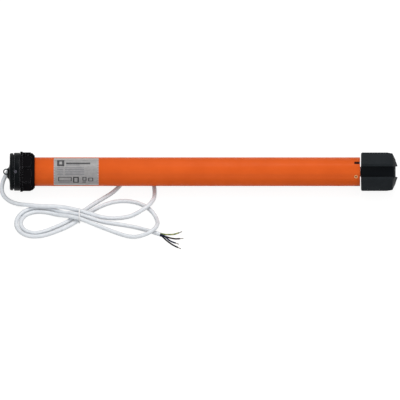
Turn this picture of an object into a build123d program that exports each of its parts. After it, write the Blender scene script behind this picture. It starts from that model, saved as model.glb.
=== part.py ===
from build123d import *
import os
from math import acos, cos, degrees, pi, radians, sin, tan

# Tubular motor for a roller blind. Its axis runs along X: the fixed head with the supply
# cable is at -X and the drive wheel is at +X. It lies on a flat surface at z = 0, and x = 0
# is half way along it. Stations are distances along X, radii are taken from the axis, and
# angles turn about +X, with 0 at +Y and 90 straight up.

# Rooms between pieces
fit = 0.06
running_gap = 0.3
overrun = 1.0

# Motor tube
tube_diameter = 45.0
tube_wall = 1.2
tube_length = 509.9
slot_length = 9.0
slot_width = 5.0
slot_angle = 97.0
tube_screw_angle = 155.7
tube_screw_inset = 6.4
tube_screw_head = 6.0
tube_screw_shank = 3.2
tube_screw_length = 6.5
tube_screw_recess = 0.15
tube_screw_hex = 2.0
tube_screw_socket = 1.6
fixings = 3
hexagon_sides = 6

# Rating label, a thin sleeve on the side that the viewer sees
label_length = 70.0
label_width = 54.0
label_thickness = 0.15
label_inset = 31.6
label_angle = 135.0

# Head: end plate with the cable boss, flange with the limit screws, stub inside the tube
plate_diameter = 58.5
plate_thickness = 4.9
plate_edge = 2.2
seam_width = 1.6
seam_depth = 2.2
flange_diameter = 59.4
flange_thickness = 9.4
flange_edge = 0.8
plug_length = 14.3
stub_bore = 34.0
stub_bulkhead = 6.6
boss_diameter = 15.6
boss_length = 3.9
boss_drop = 3.3
boss_foot = 40.0
boss_flare_shares = [(0.0, 0.0), (0.3, 0.04), (0.6, 0.15), (0.85, 0.45), (1.0, 1.0)]
edge_share = 0.3
bolt_circle = 48.0
bolt_hole = 5.0
bolt_bore_depth = 6.0
bolt_angle = 0.0
bolts = 2
head_screw_circle = 46.0
head_screw_angle = 25.0
head_screw_head = 6.4
head_screw_head_height = 1.3
head_screw_shank = 3.0
head_screw_length = 8.0
head_screw_bore = 12.0
head_screws_count = 2

# Limit adjusting screws, in the flange's rim
limit_screw_diameter = 4.4
limit_screw_length = 9.0
limit_screw_inset = 2.6
limit_screw_hex = 2.5
limit_screw_socket = 3.0
limit_screw_depth = 0.4
limit_screw_angle = 135.0

# Crown, the idling ring that follows the shaft tube
crown_flats = 58.0
crown_length = 20.7
crown_turn = 7.3
crown_end_diameter = 48.0
crown_end_length = 4.6
collar_diameter = 63.0
collar_thickness = 4.6
collar_edge_share = 0.5
flute_width = 3.0
flute_depth = 1.5
flute_inset = 1.5
octagon_sides = 8

# Limit drive: teeth inside the crown turn a pinion and its cams
tooth_module = 1.0
crown_teeth = 48
pinion_teeth = 20
pinion_length = 5.6
pinion_pocket_room = 0.5
cam_shaft_diameter = 3.0
cam_shaft_hold = 4.2
cam_turns = (60.0, 300.0)
cam_diameter = 11.0
cam_lobe = 0.9
cam_lobe_width = 3.0
cam_thickness = 6.0
cam_spacing = 13.0
chassis_length = 42.0
chassis_disc = 3.0
chassis_bridge = 2.0
chassis_bridge_height = 19.5
chassis_opening = 6.0
switch_height = 15.0
switch_depth = 12.5
switch_thickness = 6.0
switch_button_width = 2.2
switch_body_share = 0.8

# Run capacitor
capacitor_diameter = 30.0
capacitor_length = 68.0
capacitor_edge = 1.5
clamp_length = 34.0
clamp_opening = 7.5
capacitor_space = 10.0
wiring_space = 32.0

# Motor
shield_thickness = 8.0
vent_diameter = 6.6
vents = 6
vent_angle = 30.0
bush_diameter = 16.0
stack_length = 90.0
stator_bore = 25.0
stator_slots = 12
slot_mouth = 1.6
stator_slot_width = 3.6
stator_slot_start = 1.2
stator_slot_depth = 4.6
winding_room = 0.25
winding_overhang = 14.0
winding_thickness = 5.6
shield_gap = 2.0
air_gap = 0.3
end_ring_length = 5.0
shaft_diameter = 8.0
shaft_tail = 6.0

# Brake
brake_space = 4.0
magnet_length = 28.0
magnet_bore = 20.0
armature_thickness = 4.0
armature_travel = 0.6
armature_room = 0.1
brake_disc_diameter = 31.0
brake_disc_thickness = 4.0
brake_hub_diameter = 13.0
brake_hub_length = 9.0
brake_plate_thickness = 4.0
guide_pin_diameter = 3.0
guide_pin_circle = 36.6
guide_pins = 3
spring_wall = 1.6

# Planetary gearbox, three like stages in one ring gear
gear_module = 0.9
sun_teeth = 12
planet_teeth = 15
ring_teeth = 42
planets = 3
stage_widths = (14.0, 20.0, 28.0)
carrier_plates = (3.0, 4.0, 6.0)
stages = ("first", "second", "third")
input_plate_thickness = 4.0
gear_side_gap = 0.4
backlash = 0.12
pressure_angle = 20.0
addendum_share = 0.8
dedendum_share = 1.25
planet_pin_diameter = 4.0
sun_bore_diameter = 6.0
carrier_room = 0.6

# Output end
cap_length = 34.0
cap_lip = 4.0
cap_recess = 0.2
lug_recess = 0.3
lug_room = 0.1
journal_diameter = 22.0
output_bush_diameter = 28.0
neck_diameter = 15.6
drive_square = 11.0
drive_length = 40.0
wheel_gap = 1.7

# Drive wheel
wheel_flats = 60.0
wheel_length = 56.9
wheel_edge = 1.5
wheel_taper_start = 16.4
wheel_taper_length = 8.4
wheel_taper = 1.4
wheel_nose_flats = 25.0
channel_width = 16.5
channel_depth = 5.0
channels = 4
channel_angle = 45.0
end_cross_depth = 3.1
core_out_diameter = 9.0
core_out_depth = 44.0
core_out_circle = 43.0
core_outs = 4
recess_diameter = 15.0
recess_depth = 8.0
wheel_screw_shank = 5.0
wheel_screw_head = 9.5
wheel_screw_head_height = 4.0
wheel_screw_length = 24.0
hex_socket = 4.0
hex_socket_depth = 2.4
washer_diameter = 13.0
washer_thickness = 1.2

# Retaining clip: a wire eye that stands out of the boss, on a leg that reaches inside
clip_wire = 1.9
clip_eye = 9.8
clip_proud = 6.7
clip_leg = 16.0
clip_angle = 45.0

# Supply cable
cable_diameter = 6.5
cord_sides = 8
bend_share = 0.45
gland_depth = 2.85
gland_side = 6.2
gland_drop = 2.6
gland_way = (-7.6, -7.45, -8.3)
gland_wall = 1.1
gland_length = 5.6
gland_floor = 1.0
core_diameter = 2.4
tip_diameter = 1.3
least_gap = 0.4

# Route of the supply cable from the head to the end of its sheath, chosen by hand. It lies
# on the surface, falls into a figure of eight and passes the tie five times.
cable_route = [
    (-298.6, 6.2, 28.9),
    (-306.2, -1.25, 20.6),
    (-310.0, -9.6, 12.0),
    (-310.2, -19.0, 6.0),
    (-305.2, -29.6, 3.6),
    (-295.5, -39.4, 3.8),
    (-283.0, -46.8, 6.2),
    (-270.0, -51.8, 10.2),
    (-256.0, -54.8, 10.9),
    (-241.0, -55.6, 10.9),
    (-226.0, -56.0, 10.9),
    (-212.0, -58.0, 11.0),
    (-199.0, -62.4, 11.9),
    (-186.0, -67.8, 12.2),
    (-172.0, -71.8, 11.4),
    (-157.0, -73.6, 5.6),
    (-140.0, -74.8, 3.25),
    (-122.0, -73.8, 3.25),
    (-107.0, -70.6, 4.4),
    (-94.0, -65.0, 8.8),
    (-83.4, -57.4, 11.0),
    (-75.6, -46.6, 11.0),
    (-71.8, -33.4, 7.4),
    (-71.2, -18.6, 3.5),
    (-71.9, -3.6, 3.25),
    (-76.2, 10.8, 3.25),
    (-87.1, 20.6, 3.25),
    (-101.2, 22.9, 3.25),
    (-114.0, 16.8, 3.25),
    (-121.8, 4.6, 3.25),
    (-129.0, -8.0, 3.25),
    (-139.0, -20.2, 3.25),
    (-153.0, -31.6, 3.25),
    (-168.0, -44.6, 3.25),
    (-181.0, -58.2, 4.6),
    (-192.5, -70.8, 4.6),
    (-206.0, -81.6, 3.25),
    (-221.0, -91.4, 3.25),
    (-235.0, -99.4, 3.25),
    (-247.5, -105.6, 3.25),
    (-259.5, -107.8, 3.25),
    (-271.2, -103.6, 3.25),
    (-278.9, -93.9, 3.25),
    (-280.4, -81.6, 3.25),
    (-275.6, -70.2, 3.25),
    (-265.8, -62.7, 3.25),
    (-253.2, -59.6, 3.25),
    (-238.0, -61.8, 3.25),
    (-223.0, -68.2, 4.4),
    (-209.5, -75.2, 9.6),
    (-197.0, -80.8, 12.2),
    (-183.5, -86.0, 12.0),
    (-167.5, -90.4, 7.0),
    (-150.0, -96.4, 3.25),
    (-132.5, -105.6, 3.25),
    (-117.0, -113.0, 3.25),
    (-102.7, -117.2, 4.2),
    (-88.7, -117.4, 8.6),
    (-77.1, -112.6, 11.2),
    (-69.2, -102.9, 11.2),
    (-66.1, -90.8, 8.0),
    (-67.6, -77.9, 4.0),
    (-71.7, -65.5, 3.25),
    (-79.2, -54.3, 3.25),
    (-89.2, -45.3, 3.25),
    (-101.7, -38.9, 3.25),
    (-116.5, -36.2, 3.25),
    (-131.5, -37.3, 3.25),
    (-145.8, -42.4, 3.25),
    (-159.5, -50.8, 3.25),
    (-172.0, -61.2, 3.5),
    (-184.0, -73.4, 4.6),
    (-196.0, -85.6, 4.6),
    (-210.0, -95.6, 3.25),
    (-226.0, -104.4, 3.25),
    (-241.0, -111.8, 3.25),
    (-258.0, -115.6, 3.25),
    (-274.4, -111.6, 3.25),
    (-285.6, -98.6, 3.25),
    (-288.0, -81.4, 3.25),
    (-281.6, -65.4, 3.25),
    (-269.0, -55.2, 3.25),
    (-254.0, -51.8, 3.25),
    (-239.0, -53.2, 3.25),
    (-225.0, -58.2, 3.5),
    (-212.0, -65.8, 6.2),
    (-199.0, -71.8, 11.9),
    (-185.5, -76.2, 12.3),
    (-169.0, -79.8, 7.4),
    (-151.0, -83.0, 3.25),
    (-133.0, -86.8, 3.25),
    (-115.0, -90.4, 3.25),
    (-97.0, -95.6, 3.25),
    (-79.5, -102.2, 3.25),
    (-62.0, -110.3, 3.25),
]
# Runs of the route in whose middle the lead passes to the hank and the hank to the tail
lead_end_run = 5
hank_end_run = 89

# Cable tie about the crossing of the strands
tie_station = -188.6
tie_wall = 1.0
tie_width = 2.4
tie_clearance = 0.15
tie_head_width = 3.6
tie_head_height = 4.6
tie_head_depth = 3.0

# Routes of the four cores, from the end of the sheath to the stripped ends
core_routes = {
    "core_earth": [
        (-61.48, -109.19, 4.5),
        (-58.58, -110.53, 4.5),
        (-54.8, -110.8, 3.7),
        (-50.2, -109.3, 2.1),
        (-44.8, -108.4, 1.2),
        (-38.6, -107.4, 1.2),
        (-33.2, -104.4, 1.2),
    ],
    "core_brown": [
        (-61.48, -109.19, 2.0),
        (-58.58, -110.53, 2.0),
        (-54.8, -112.6, 1.5),
        (-50.0, -114.8, 1.2),
        (-44.2, -116.8, 1.2),
        (-37.6, -118.2, 1.2),
        (-31.6, -117.4, 1.2),
    ],
    "core_blue": [
        (-62.51, -111.41, 4.5),
        (-59.61, -112.75, 4.5),
        (-56.2, -114.8, 4.1),
        (-52.2, -117.8, 2.8),
        (-48.2, -121.4, 1.2),
        (-43.4, -124.8, 1.2),
        (-38.4, -127.2, 1.2),
    ],
    "core_black": [
        (-62.51, -111.41, 2.0),
        (-59.61, -112.75, 2.0),
        (-57.0, -115.6, 1.5),
        (-53.8, -120.0, 1.2),
        (-48.6, -125.8, 1.2),
        (-41.8, -132.4, 1.2),
        (-34.8, -136.8, 1.2),
    ],
}
tip_length = 5.5

# Stations along the axis, from the clip's eye to the wheel's nose
head_length = clip_proud + boss_length + plate_thickness + seam_width + flange_thickness
overall_length = head_length + running_gap + crown_length + running_gap + tube_length
overall_length += wheel_gap + wheel_length
clip_end = -overall_length / 2
boss_end = clip_end + clip_proud
plate_start = boss_end + boss_length
seam_start = plate_start + plate_thickness
flange_start = seam_start + seam_width
flange_end = flange_start + flange_thickness
crown_start = flange_end + running_gap
crown_end = crown_start + crown_length
tube_start = crown_end + running_gap
tube_end = tube_start + tube_length
wheel_start = tube_end + wheel_gap
wheel_end = wheel_start + wheel_length

# Radii that follow from the tube
tube_radius = tube_diameter / 2
tube_bore = tube_radius - tube_wall
insert_radius = tube_bore - fit
axis_height = collar_diameter / 2

# Stations inside the tube
plug_end = tube_start + plug_length
chassis_start = plug_end + running_gap
chassis_end = chassis_start + chassis_length
capacitor_start = chassis_end + capacitor_space
capacitor_end = capacitor_start + capacitor_length
rear_shield_start = capacitor_end + wiring_space
rear_shield_end = rear_shield_start + shield_thickness
stack_start = rear_shield_end + shield_gap + winding_overhang
stack_end = stack_start + stack_length
front_shield_start = stack_end + winding_overhang + shield_gap
front_shield_end = front_shield_start + shield_thickness
magnet_start = front_shield_end + brake_space
magnet_end = magnet_start + magnet_length
armature_start = magnet_end + armature_travel + armature_room
armature_end = armature_start + armature_thickness
brake_disc_start = armature_end + armature_room
brake_disc_end = brake_disc_start + brake_disc_thickness
brake_plate_start = brake_disc_end + armature_room
brake_plate_end = brake_plate_start + brake_plate_thickness

# Stations of the output end and the gearbox, counted back from the tube's end
cap_end = tube_end - cap_recess
cap_start = cap_end - cap_length
stage_lengths = [
    width + gear_side_gap * 2 + plate for width, plate in zip(stage_widths, carrier_plates)
]
ring_start = cap_start - gear_side_gap - sum(stage_lengths)
input_plate_start = ring_start - input_plate_thickness
stage_starts = [ring_start + sum(stage_lengths[:i]) for i in range(len(stages))]

# Gear sizes
sun_pitch = gear_module * sun_teeth / 2
planet_pitch = gear_module * planet_teeth / 2
ring_pitch = gear_module * ring_teeth / 2
planet_orbit = sun_pitch + planet_pitch
crown_pitch = tooth_module * crown_teeth / 2
pinion_pitch = tooth_module * pinion_teeth / 2
pinion_orbit = crown_pitch - pinion_pitch

motor_axis = Plane(origin=(0, 0, axis_height), x_dir=(0, 1, 0), z_dir=(1, 0, 0))


# Shapes about the local Z axis, which becomes the motor's axis
def rod(radius, start, end):
    """A solid round length between two stations."""
    base = (Align.CENTER, Align.CENTER, Align.MIN)
    return Pos(0, 0, start) * Cylinder(radius, end - start, align=base)


def sleeve(outer, inner, start, end):
    """A round tube between two stations."""
    return rod(outer, start, end) - rod(inner, start - overrun, end + overrun)


def turned(outline):
    """A turned solid from an outline of (station, radius) pairs."""
    points = [(radius, 0, station) for station, radius in outline]
    return revolve(make_face(Polyline(*points, close=True)), Axis.Z)


def prism(sketch, start, end):
    """A sketch carried from one station to another."""
    return Pos(0, 0, start) * extrude(sketch, end - start)


def off_axis(radius, angle):
    """The place at a radius and an angle from the axis."""
    return Pos(radius * cos(radians(angle)), radius * sin(radians(angle)), 0)


def radial_frame(station, angle):
    """A frame at a station whose local Z points outwards at an angle."""
    return Pos(0, 0, station) * Rot(0, 0, angle) * Rot(0, 90, 0)


def radial_rod(radius, station, angle, inner, outer):
    """A round rod that points outwards between two radii."""
    return radial_frame(station, angle) * rod(radius, inner, outer)


def around(shape, count, first=0.0):
    """Copies of a shape, evenly spaced about the axis."""
    return [Rot(0, 0, first + 360 * i / count) * shape for i in range(count)]


def octagon(flats, turn=0.0):
    """An octagon by its width across flats, with one flat at the given angle."""
    half_step = 180 / octagon_sides
    return Rot(0, 0, turn + half_step) * RegularPolygon(flats / 2, octagon_sides, major_radius=False)


def placed(shape):
    """The shape in the part's own frame."""
    return motor_axis.location * shape


# Gear teeth
def involute(angle):
    return tan(angle) - angle


def half_tooth(teeth, module, radius, thinning):
    """Half the angle that a tooth takes at a radius, on its involute."""
    pitch = module * teeth / 2
    pressure = radians(pressure_angle)
    slope = acos(min(1.0, pitch * cos(pressure) / radius))
    return pi / (2 * teeth) + involute(pressure) - involute(slope) - thinning / (2 * pitch)


def gear_outline(teeth, module, inner, outer, thinning, phase=0.0):
    """A gear's outline with flat flanks between the root, the pitch circle and the tip."""
    flank = [(r, half_tooth(teeth, module, r, thinning)) for r in (inner, module * teeth / 2, outer)]
    points = []
    for i in range(teeth):
        middle = radians(phase) + 2 * pi * i / teeth
        rising = [(r, middle - half) for r, half in flank]
        falling = [(r, middle + half) for r, half in reversed(flank)]
        points += [(r * cos(a), r * sin(a)) for r, a in rising + falling]
    return Polygon(*points, align=None)


def outer_gear(teeth, module, phase=0.0):
    """The outline of a gear with outer teeth, thinned for backlash."""
    pitch = module * teeth / 2
    root = pitch - dedendum_share * module
    tip = pitch + addendum_share * module
    return gear_outline(teeth, module, root, tip, backlash, phase)


def inner_gear(teeth, module, phase=0.0):
    """The outline of the hole of a gear with inner teeth, widened for backlash."""
    pitch = module * teeth / 2
    tip = pitch - addendum_share * module
    root = pitch + dedendum_share * module
    return gear_outline(teeth, module, tip, root, -backlash, phase)


# Casing pieces
def motor_tube():
    """The long steel tube, with open slots and countersunk holes at its drive end."""
    tube = sleeve(tube_radius, tube_bore, tube_start, tube_end)
    depth = tube_wall + overrun * 2
    slot = Pos(tube_radius, 0, tube_end) * Box(depth, slot_width, slot_length * 2)
    tube -= around(slot, fixings, slot_angle)
    shank, head = tube_screw_shank / 2 + fit, tube_screw_head / 2 + fit
    sink = turned(
        [
            (tube_bore - overrun, 0),
            (tube_bore - overrun, shank),
            (tube_bore, shank),
            (tube_radius, head),
            (tube_radius + overrun, head),
            (tube_radius + overrun, 0),
        ]
    )
    cut = radial_frame(tube_end - tube_screw_inset, 0) * sink
    return tube - around(cut, fixings, tube_screw_angle)


def tube_screws():
    """Countersunk screws that hold the gearbox cap in the tube, alike and in one group."""
    shank, head = tube_screw_shank / 2, tube_screw_head / 2
    sunk = (head - shank) * tube_screw_recess / tube_wall
    outline = [
        (tube_radius - tube_screw_length, 0),
        (tube_radius - tube_screw_length, shank),
        (tube_bore, shank),
        (tube_radius - tube_screw_recess, head - sunk),
        (tube_radius - tube_screw_recess, 0),
    ]
    screw = radial_frame(tube_end - tube_screw_inset, 0) * turned(outline)
    socket = RegularPolygon(tube_screw_hex / 2, hexagon_sides, major_radius=False)
    floor = tube_radius - tube_screw_recess - tube_screw_socket
    screw -= radial_frame(tube_end - tube_screw_inset, 0) * prism(socket, floor, tube_radius)
    return around(screw, fixings, tube_screw_angle)


def rating_label():
    """The bare silver label, a thin sheet wrapped on the tube."""
    start = tube_start + label_inset
    inner = tube_radius + fit / 2
    sheet = sleeve(inner + label_thickness, inner, start, start + label_length)
    half_turn = degrees(label_width / 2 / inner)
    reach = tube_diameter
    corners = [
        (0, 0),
        (reach * cos(radians(half_turn)), -reach * sin(radians(half_turn))),
        (reach * 2, 0),
        (reach * cos(radians(half_turn)), reach * sin(radians(half_turn))),
    ]
    wedge = prism(Polygon(*corners, align=None), start - overrun, start + label_length + overrun)
    return sheet & (Rot(0, 0, label_angle) * wedge)


# Head
def boss_solid():
    """The round boss for the cable, with a hollow flare down to the plate's face."""
    radius = boss_diameter / 2
    flare = boss_foot / 2 - radius
    slope = [
        (boss_end + boss_length * along, radius + flare * out) for along, out in boss_flare_shares
    ]
    outline = [(boss_end, 0), *slope, (plate_start + plate_edge, boss_foot / 2), (plate_start + plate_edge, 0)]
    return Pos(0, -boss_drop, 0) * turned(outline)


def cable_frame(reach):
    """A frame where the cable leaves the boss, a distance out, with local Z outwards."""
    entry = Vector(gland_side, -gland_drop, boss_end + gland_depth)
    along, across, upwards = gland_way
    way = Vector(across, upwards, along).normalized()
    return Plane(origin=entry + way * reach, z_dir=way).location


def clip_frame():
    """A frame at the clip's eye: local Z along the motor's axis, local X in the eye's plane."""
    return Pos(0, 0, clip_end + clip_eye / 2) * Rot(0, 0, clip_angle)


def head_cap():
    """The end plate with the cable boss, the bracket holes and the clip's slot."""
    rim = plate_diameter / 2
    outline = [
        (plate_start, 0),
        (plate_start, rim - plate_edge),
        (plate_start + plate_edge * edge_share, rim - plate_edge * edge_share),
        (plate_start + plate_edge, rim),
        (seam_start, rim),
        (seam_start + seam_width / 2, rim - seam_depth),
        (flange_start, rim - seam_depth),
        (flange_start, 0),
    ]
    cap = turned(outline) + boss_solid()
    cap -= cable_frame(-gland_floor) * rod(cable_diameter / 2 + gland_wall, 0, boss_diameter)
    bolt = off_axis(bolt_circle / 2, 0) * rod(bolt_hole / 2, boss_end, flange_start + overrun)
    cap -= around(bolt, bolts, bolt_angle)
    shank = rod(head_screw_shank / 2 + fit, plate_start - overrun, flange_start + overrun)
    sink = rod(head_screw_head / 2 + fit, plate_start - overrun, plate_start + plate_edge)
    screw = off_axis(head_screw_circle / 2, 0) * (shank + sink)
    cap -= around(screw, head_screws_count, head_screw_angle)
    slot_reach = clip_eye / 2 + running_gap
    slot_end = clip_end + clip_eye + running_gap
    slot = Box(slot_reach * 2, clip_wire + running_gap * 2, slot_end - boss_end + overrun)
    cap -= Rot(0, 0, clip_angle) * Pos(0, 0, (slot_end + boss_end - overrun) / 2) * slot
    return cap - rod(clip_wire / 2 + fit, boss_end, clip_end + clip_eye + clip_leg + overrun)


def limit_screw_station():
    return flange_start + limit_screw_inset


def pinion_room():
    """The space that the pinion needs in the stub."""
    tip = pinion_pitch + addendum_share * tooth_module + pinion_pocket_room
    end = flange_end + pinion_length + running_gap * 2
    return Pos(pinion_orbit, 0, 0) * rod(tip, flange_end, end)


def head_body():
    """The flange with the limit screws' bores, and the stub that carries crown and tube."""
    rim = flange_diameter / 2
    outline = [
        (flange_start, 0),
        (flange_start, rim - flange_edge),
        (flange_start + flange_edge, rim),
        (flange_end - flange_edge, rim),
        (flange_end, rim - flange_edge),
        (flange_end, insert_radius),
        (plug_end, insert_radius),
        (plug_end, 0),
    ]
    body = turned(outline)
    bulkhead_end = flange_end + pinion_length + running_gap * 2 + stub_bulkhead
    body -= rod(stub_bore / 2, bulkhead_end, plug_end + overrun)
    body -= pinion_room()
    shaft_bore = rod(cam_shaft_diameter / 2 + fit, cam_shaft_start(), bulkhead_end + overrun)
    body -= Pos(pinion_orbit, 0, 0) * shaft_bore
    for angle in (limit_screw_angle, limit_screw_angle + 180):
        inner = rim - limit_screw_depth - limit_screw_length - running_gap
        radius = limit_screw_diameter / 2 + fit
        body -= radial_rod(radius, limit_screw_station(), angle, inner, rim + overrun)
    thread = rod(head_screw_shank / 2 + fit, flange_start - overrun, flange_start + head_screw_bore)
    body -= around(off_axis(head_screw_circle / 2, 0) * thread, head_screws_count, head_screw_angle)
    bolt = rod(bolt_hole / 2, flange_start - overrun, flange_start + bolt_bore_depth)
    body -= around(off_axis(bolt_circle / 2, 0) * bolt, bolts, bolt_angle)
    leg = rod(clip_wire / 2 + fit, flange_start - overrun, clip_end + clip_eye + clip_leg + overrun)
    return body - leg


def head_screws():
    """Screws that join the end plate to the flange, alike and in one group."""
    seat = plate_start + plate_edge
    head = rod(head_screw_head / 2, seat - head_screw_head_height, seat)
    shank = rod(head_screw_shank / 2, seat, seat + head_screw_length)
    screw = off_axis(head_screw_circle / 2, 0) * (head + shank)
    return around(screw, head_screws_count, head_screw_angle)


def limit_screw(angle):
    """A limit adjusting screw with a hexagon socket, sunk in the flange's rim."""
    outer = flange_diameter / 2 - limit_screw_depth
    screw = rod(limit_screw_diameter / 2, outer - limit_screw_length, outer)
    socket = RegularPolygon(limit_screw_hex / 2, hexagon_sides, major_radius=False)
    screw -= prism(socket, outer - limit_screw_socket, outer + overrun)
    return radial_frame(limit_screw_station(), angle) * screw


def cable_gland():
    """The cup that seals the cable in the boss; the cable ends on its floor."""
    inner = cable_diameter / 2 + fit
    outer = cable_diameter / 2 + gland_wall - fit
    cup = rod(outer, -gland_floor + fit, gland_length) - rod(inner, 0, gland_length + overrun)
    cup = cable_frame(0) * cup
    return cup & (Pos(0, -boss_drop, 0) * rod(boss_foot, boss_end + fit, flange_end))


def retaining_clip():
    """The wire clip: a round eye and a straight leg."""
    eye = Torus(clip_eye / 2 - clip_wire / 2, clip_wire / 2)
    eye = clip_frame() * Rot(90, 0, 0) * eye
    leg_start = clip_end + clip_eye - clip_wire / 2
    return eye + rod(clip_wire / 2, leg_start, clip_end + clip_eye + clip_leg)


def crown():
    """The idling octagonal ring with its collar, flutes and inner teeth."""
    body = prism(octagon(crown_flats, crown_turn), crown_start + collar_thickness / 2, crown_end)
    corner = crown_flats / 2 / cos(pi / octagon_sides) + overrun
    envelope = turned(
        [
            (crown_start, 0),
            (crown_start, corner),
            (crown_end - crown_end_length, corner),
            (crown_end - crown_end_length, crown_flats / 2 + collar_thickness / 2),
            (crown_end, crown_end_diameter / 2),
            (crown_end, 0),
        ]
    )
    body = body & envelope
    side = crown_flats * tan(pi / octagon_sides)
    flute = Box(flute_depth * 2, flute_width, crown_length)
    flute_place = -side / 2 + flute_inset + flute_width / 2
    flute = Pos(crown_flats / 2, flute_place, crown_start + collar_thickness + crown_length / 2) * flute
    body -= around(flute, octagon_sides, crown_turn)
    collar_edge = (collar_diameter - crown_flats) / 2 * collar_edge_share
    collar = turned(
        [
            (crown_start, 0),
            (crown_start, collar_diameter / 2 - collar_edge / 2),
            (crown_start + collar_edge / 2, collar_diameter / 2),
            (crown_start + collar_thickness - collar_edge, collar_diameter / 2),
            (crown_start + collar_thickness, collar_diameter / 2 - collar_edge),
            (crown_start + collar_thickness, 0),
        ]
    )
    body += collar
    body -= rod(tube_bore, crown_start - overrun, crown_end + overrun)
    teeth_end = crown_start + pinion_length + running_gap
    return body - prism(inner_gear(crown_teeth, tooth_module), crown_start - overrun, teeth_end)


# Limit switch unit
def limit_pinion():
    """The pinion in the crown's teeth, with the long shaft that carries the cams."""
    start = flange_end + running_gap
    gear = prism(outer_gear(pinion_teeth, tooth_module), start, start + pinion_length)
    shaft = rod(cam_shaft_diameter / 2, cam_shaft_start() + running_gap, chassis_end)
    return Pos(pinion_orbit, 0, 0) * (gear + shaft)


def cam_shaft_start():
    """The floor of the cam shaft's bore in the flange."""
    return flange_end - cam_shaft_hold


def cam_stations():
    middle = (chassis_start + chassis_end) / 2
    return [middle - cam_spacing / 2, middle + cam_spacing / 2]


def limit_cams():
    """Two cams, turned apart, that work the limit switches."""
    cams = []
    for station, turn in zip(cam_stations(), cam_turns):
        lobe = Box(cam_lobe * 2, cam_lobe_width, cam_thickness)
        lobe = Rot(0, 0, turn) * Pos(cam_diameter / 2, 0, station) * lobe
        cam = rod(cam_diameter / 2, station - cam_thickness / 2, station + cam_thickness / 2) + lobe
        cam -= rod(cam_shaft_diameter / 2 + fit / 2, station - cam_thickness, station + cam_thickness)
        cams.append(Pos(pinion_orbit, 0, 0) * cam)
    return cams


def bridge_face():
    """How far from the axis the switches stand on the chassis bridge."""
    reach = pinion_orbit - cam_diameter / 2 - cam_lobe - running_gap
    return reach - switch_depth


def limit_chassis():
    """The frame that carries the cam shaft's end and the two switches."""
    shaft_bore = rod(cam_shaft_diameter / 2 + fit, chassis_start - overrun, chassis_end + overrun)
    discs = rod(insert_radius, chassis_start, chassis_start + chassis_disc)
    discs += rod(insert_radius, chassis_end - chassis_disc, chassis_end)
    discs -= rod(chassis_opening / 2, chassis_start - overrun, chassis_end + overrun)
    bridge = Box(chassis_bridge, chassis_bridge_height, chassis_length)
    bridge = Pos(bridge_face() - chassis_bridge / 2, 0, (chassis_start + chassis_end) / 2) * bridge
    return discs + bridge - Pos(pinion_orbit, 0, 0) * shaft_bore


def limit_switches():
    """Two snap switches on the bridge, each beside its cam, alike and in one group."""
    switches = []
    body_depth = switch_depth * switch_body_share
    on_face = (Align.MIN, Align.CENTER, Align.CENTER)
    for station in cam_stations():
        body = Box(body_depth, switch_height, switch_thickness, align=on_face)
        button = Box(switch_depth, switch_button_width, switch_thickness / 2, align=on_face)
        switches.append(Pos(bridge_face(), 0, station) * (body + button))
    return switches


# Run capacitor
def capacitor():
    """The run capacitor, a can with a rolled edge."""
    radius = capacitor_diameter / 2
    outline = [
        (capacitor_start, 0),
        (capacitor_start, radius - capacitor_edge),
        (capacitor_start + capacitor_edge, radius),
        (capacitor_end - capacitor_edge, radius),
        (capacitor_end, radius - capacitor_edge),
        (capacitor_end, 0),
    ]
    return turned(outline)


def capacitor_clamp():
    """The ring that centres the capacitor in the tube, open on one side for the wires."""
    middle = (capacitor_start + capacitor_end) / 2
    start, end = middle - clamp_length / 2, middle + clamp_length / 2
    clamp = sleeve(insert_radius, capacitor_diameter / 2 + fit, start, end)
    opening = Box(tube_diameter, clamp_opening, clamp_length + overrun * 2)
    return clamp - Pos(-tube_radius, 0, middle) * opening


# Motor
def end_shield(start):
    """The plate that carries a bush of the rotor in the tube."""
    shield = sleeve(insert_radius, bush_diameter / 2 + fit / 2, start, start + shield_thickness)
    vent = rod(vent_diameter / 2, start - overrun, start + shield_thickness + overrun)
    vent = off_axis((insert_radius + bush_diameter / 2) / 2, 0) * vent
    return shield - around(vent, vents, vent_angle)


def shaft_bush(start):
    """The plain bush in an end shield."""
    return sleeve(bush_diameter / 2, shaft_diameter / 2 + fit, start, start + shield_thickness)


def stator_stack():
    """The laminated core, with slots open towards the rotor."""
    stack = sleeve(insert_radius, stator_bore / 2, stack_start, stack_end)
    first = stator_bore / 2 + stator_slot_start
    middle = (stack_start + stack_end) / 2
    outwards = (Align.MIN, Align.CENTER, Align.CENTER)
    pocket = Box(stator_slot_depth, stator_slot_width, stack_length + overrun * 2, align=outwards)
    mouth_depth = stator_slot_start + stator_slot_depth / 2
    mouth = Box(mouth_depth + overrun, slot_mouth, stack_length + overrun * 2, align=outwards)
    slot = Pos(first, 0, middle) * pocket + Pos(stator_bore / 2 - overrun, 0, middle) * mouth
    return stack - around(slot, stator_slots)


def stator_winding():
    """The copper winding: a bar in each slot, and a ring of end turns at both ends."""
    inner = stator_bore / 2 + stator_slot_start
    outer = inner + winding_thickness
    start, end = stack_start - winding_overhang, stack_end + winding_overhang
    room = winding_room
    rings = sleeve(outer, inner, start, stack_start - room)
    rings += sleeve(outer, inner, stack_end + room, end)
    bar = Box(stator_slot_depth - room * 2, stator_slot_width - room * 2, stack_length + room * 4)
    bar = Pos(inner + stator_slot_depth / 2, 0, (stack_start + stack_end) / 2) * bar
    return rings + around(bar, stator_slots)


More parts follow.
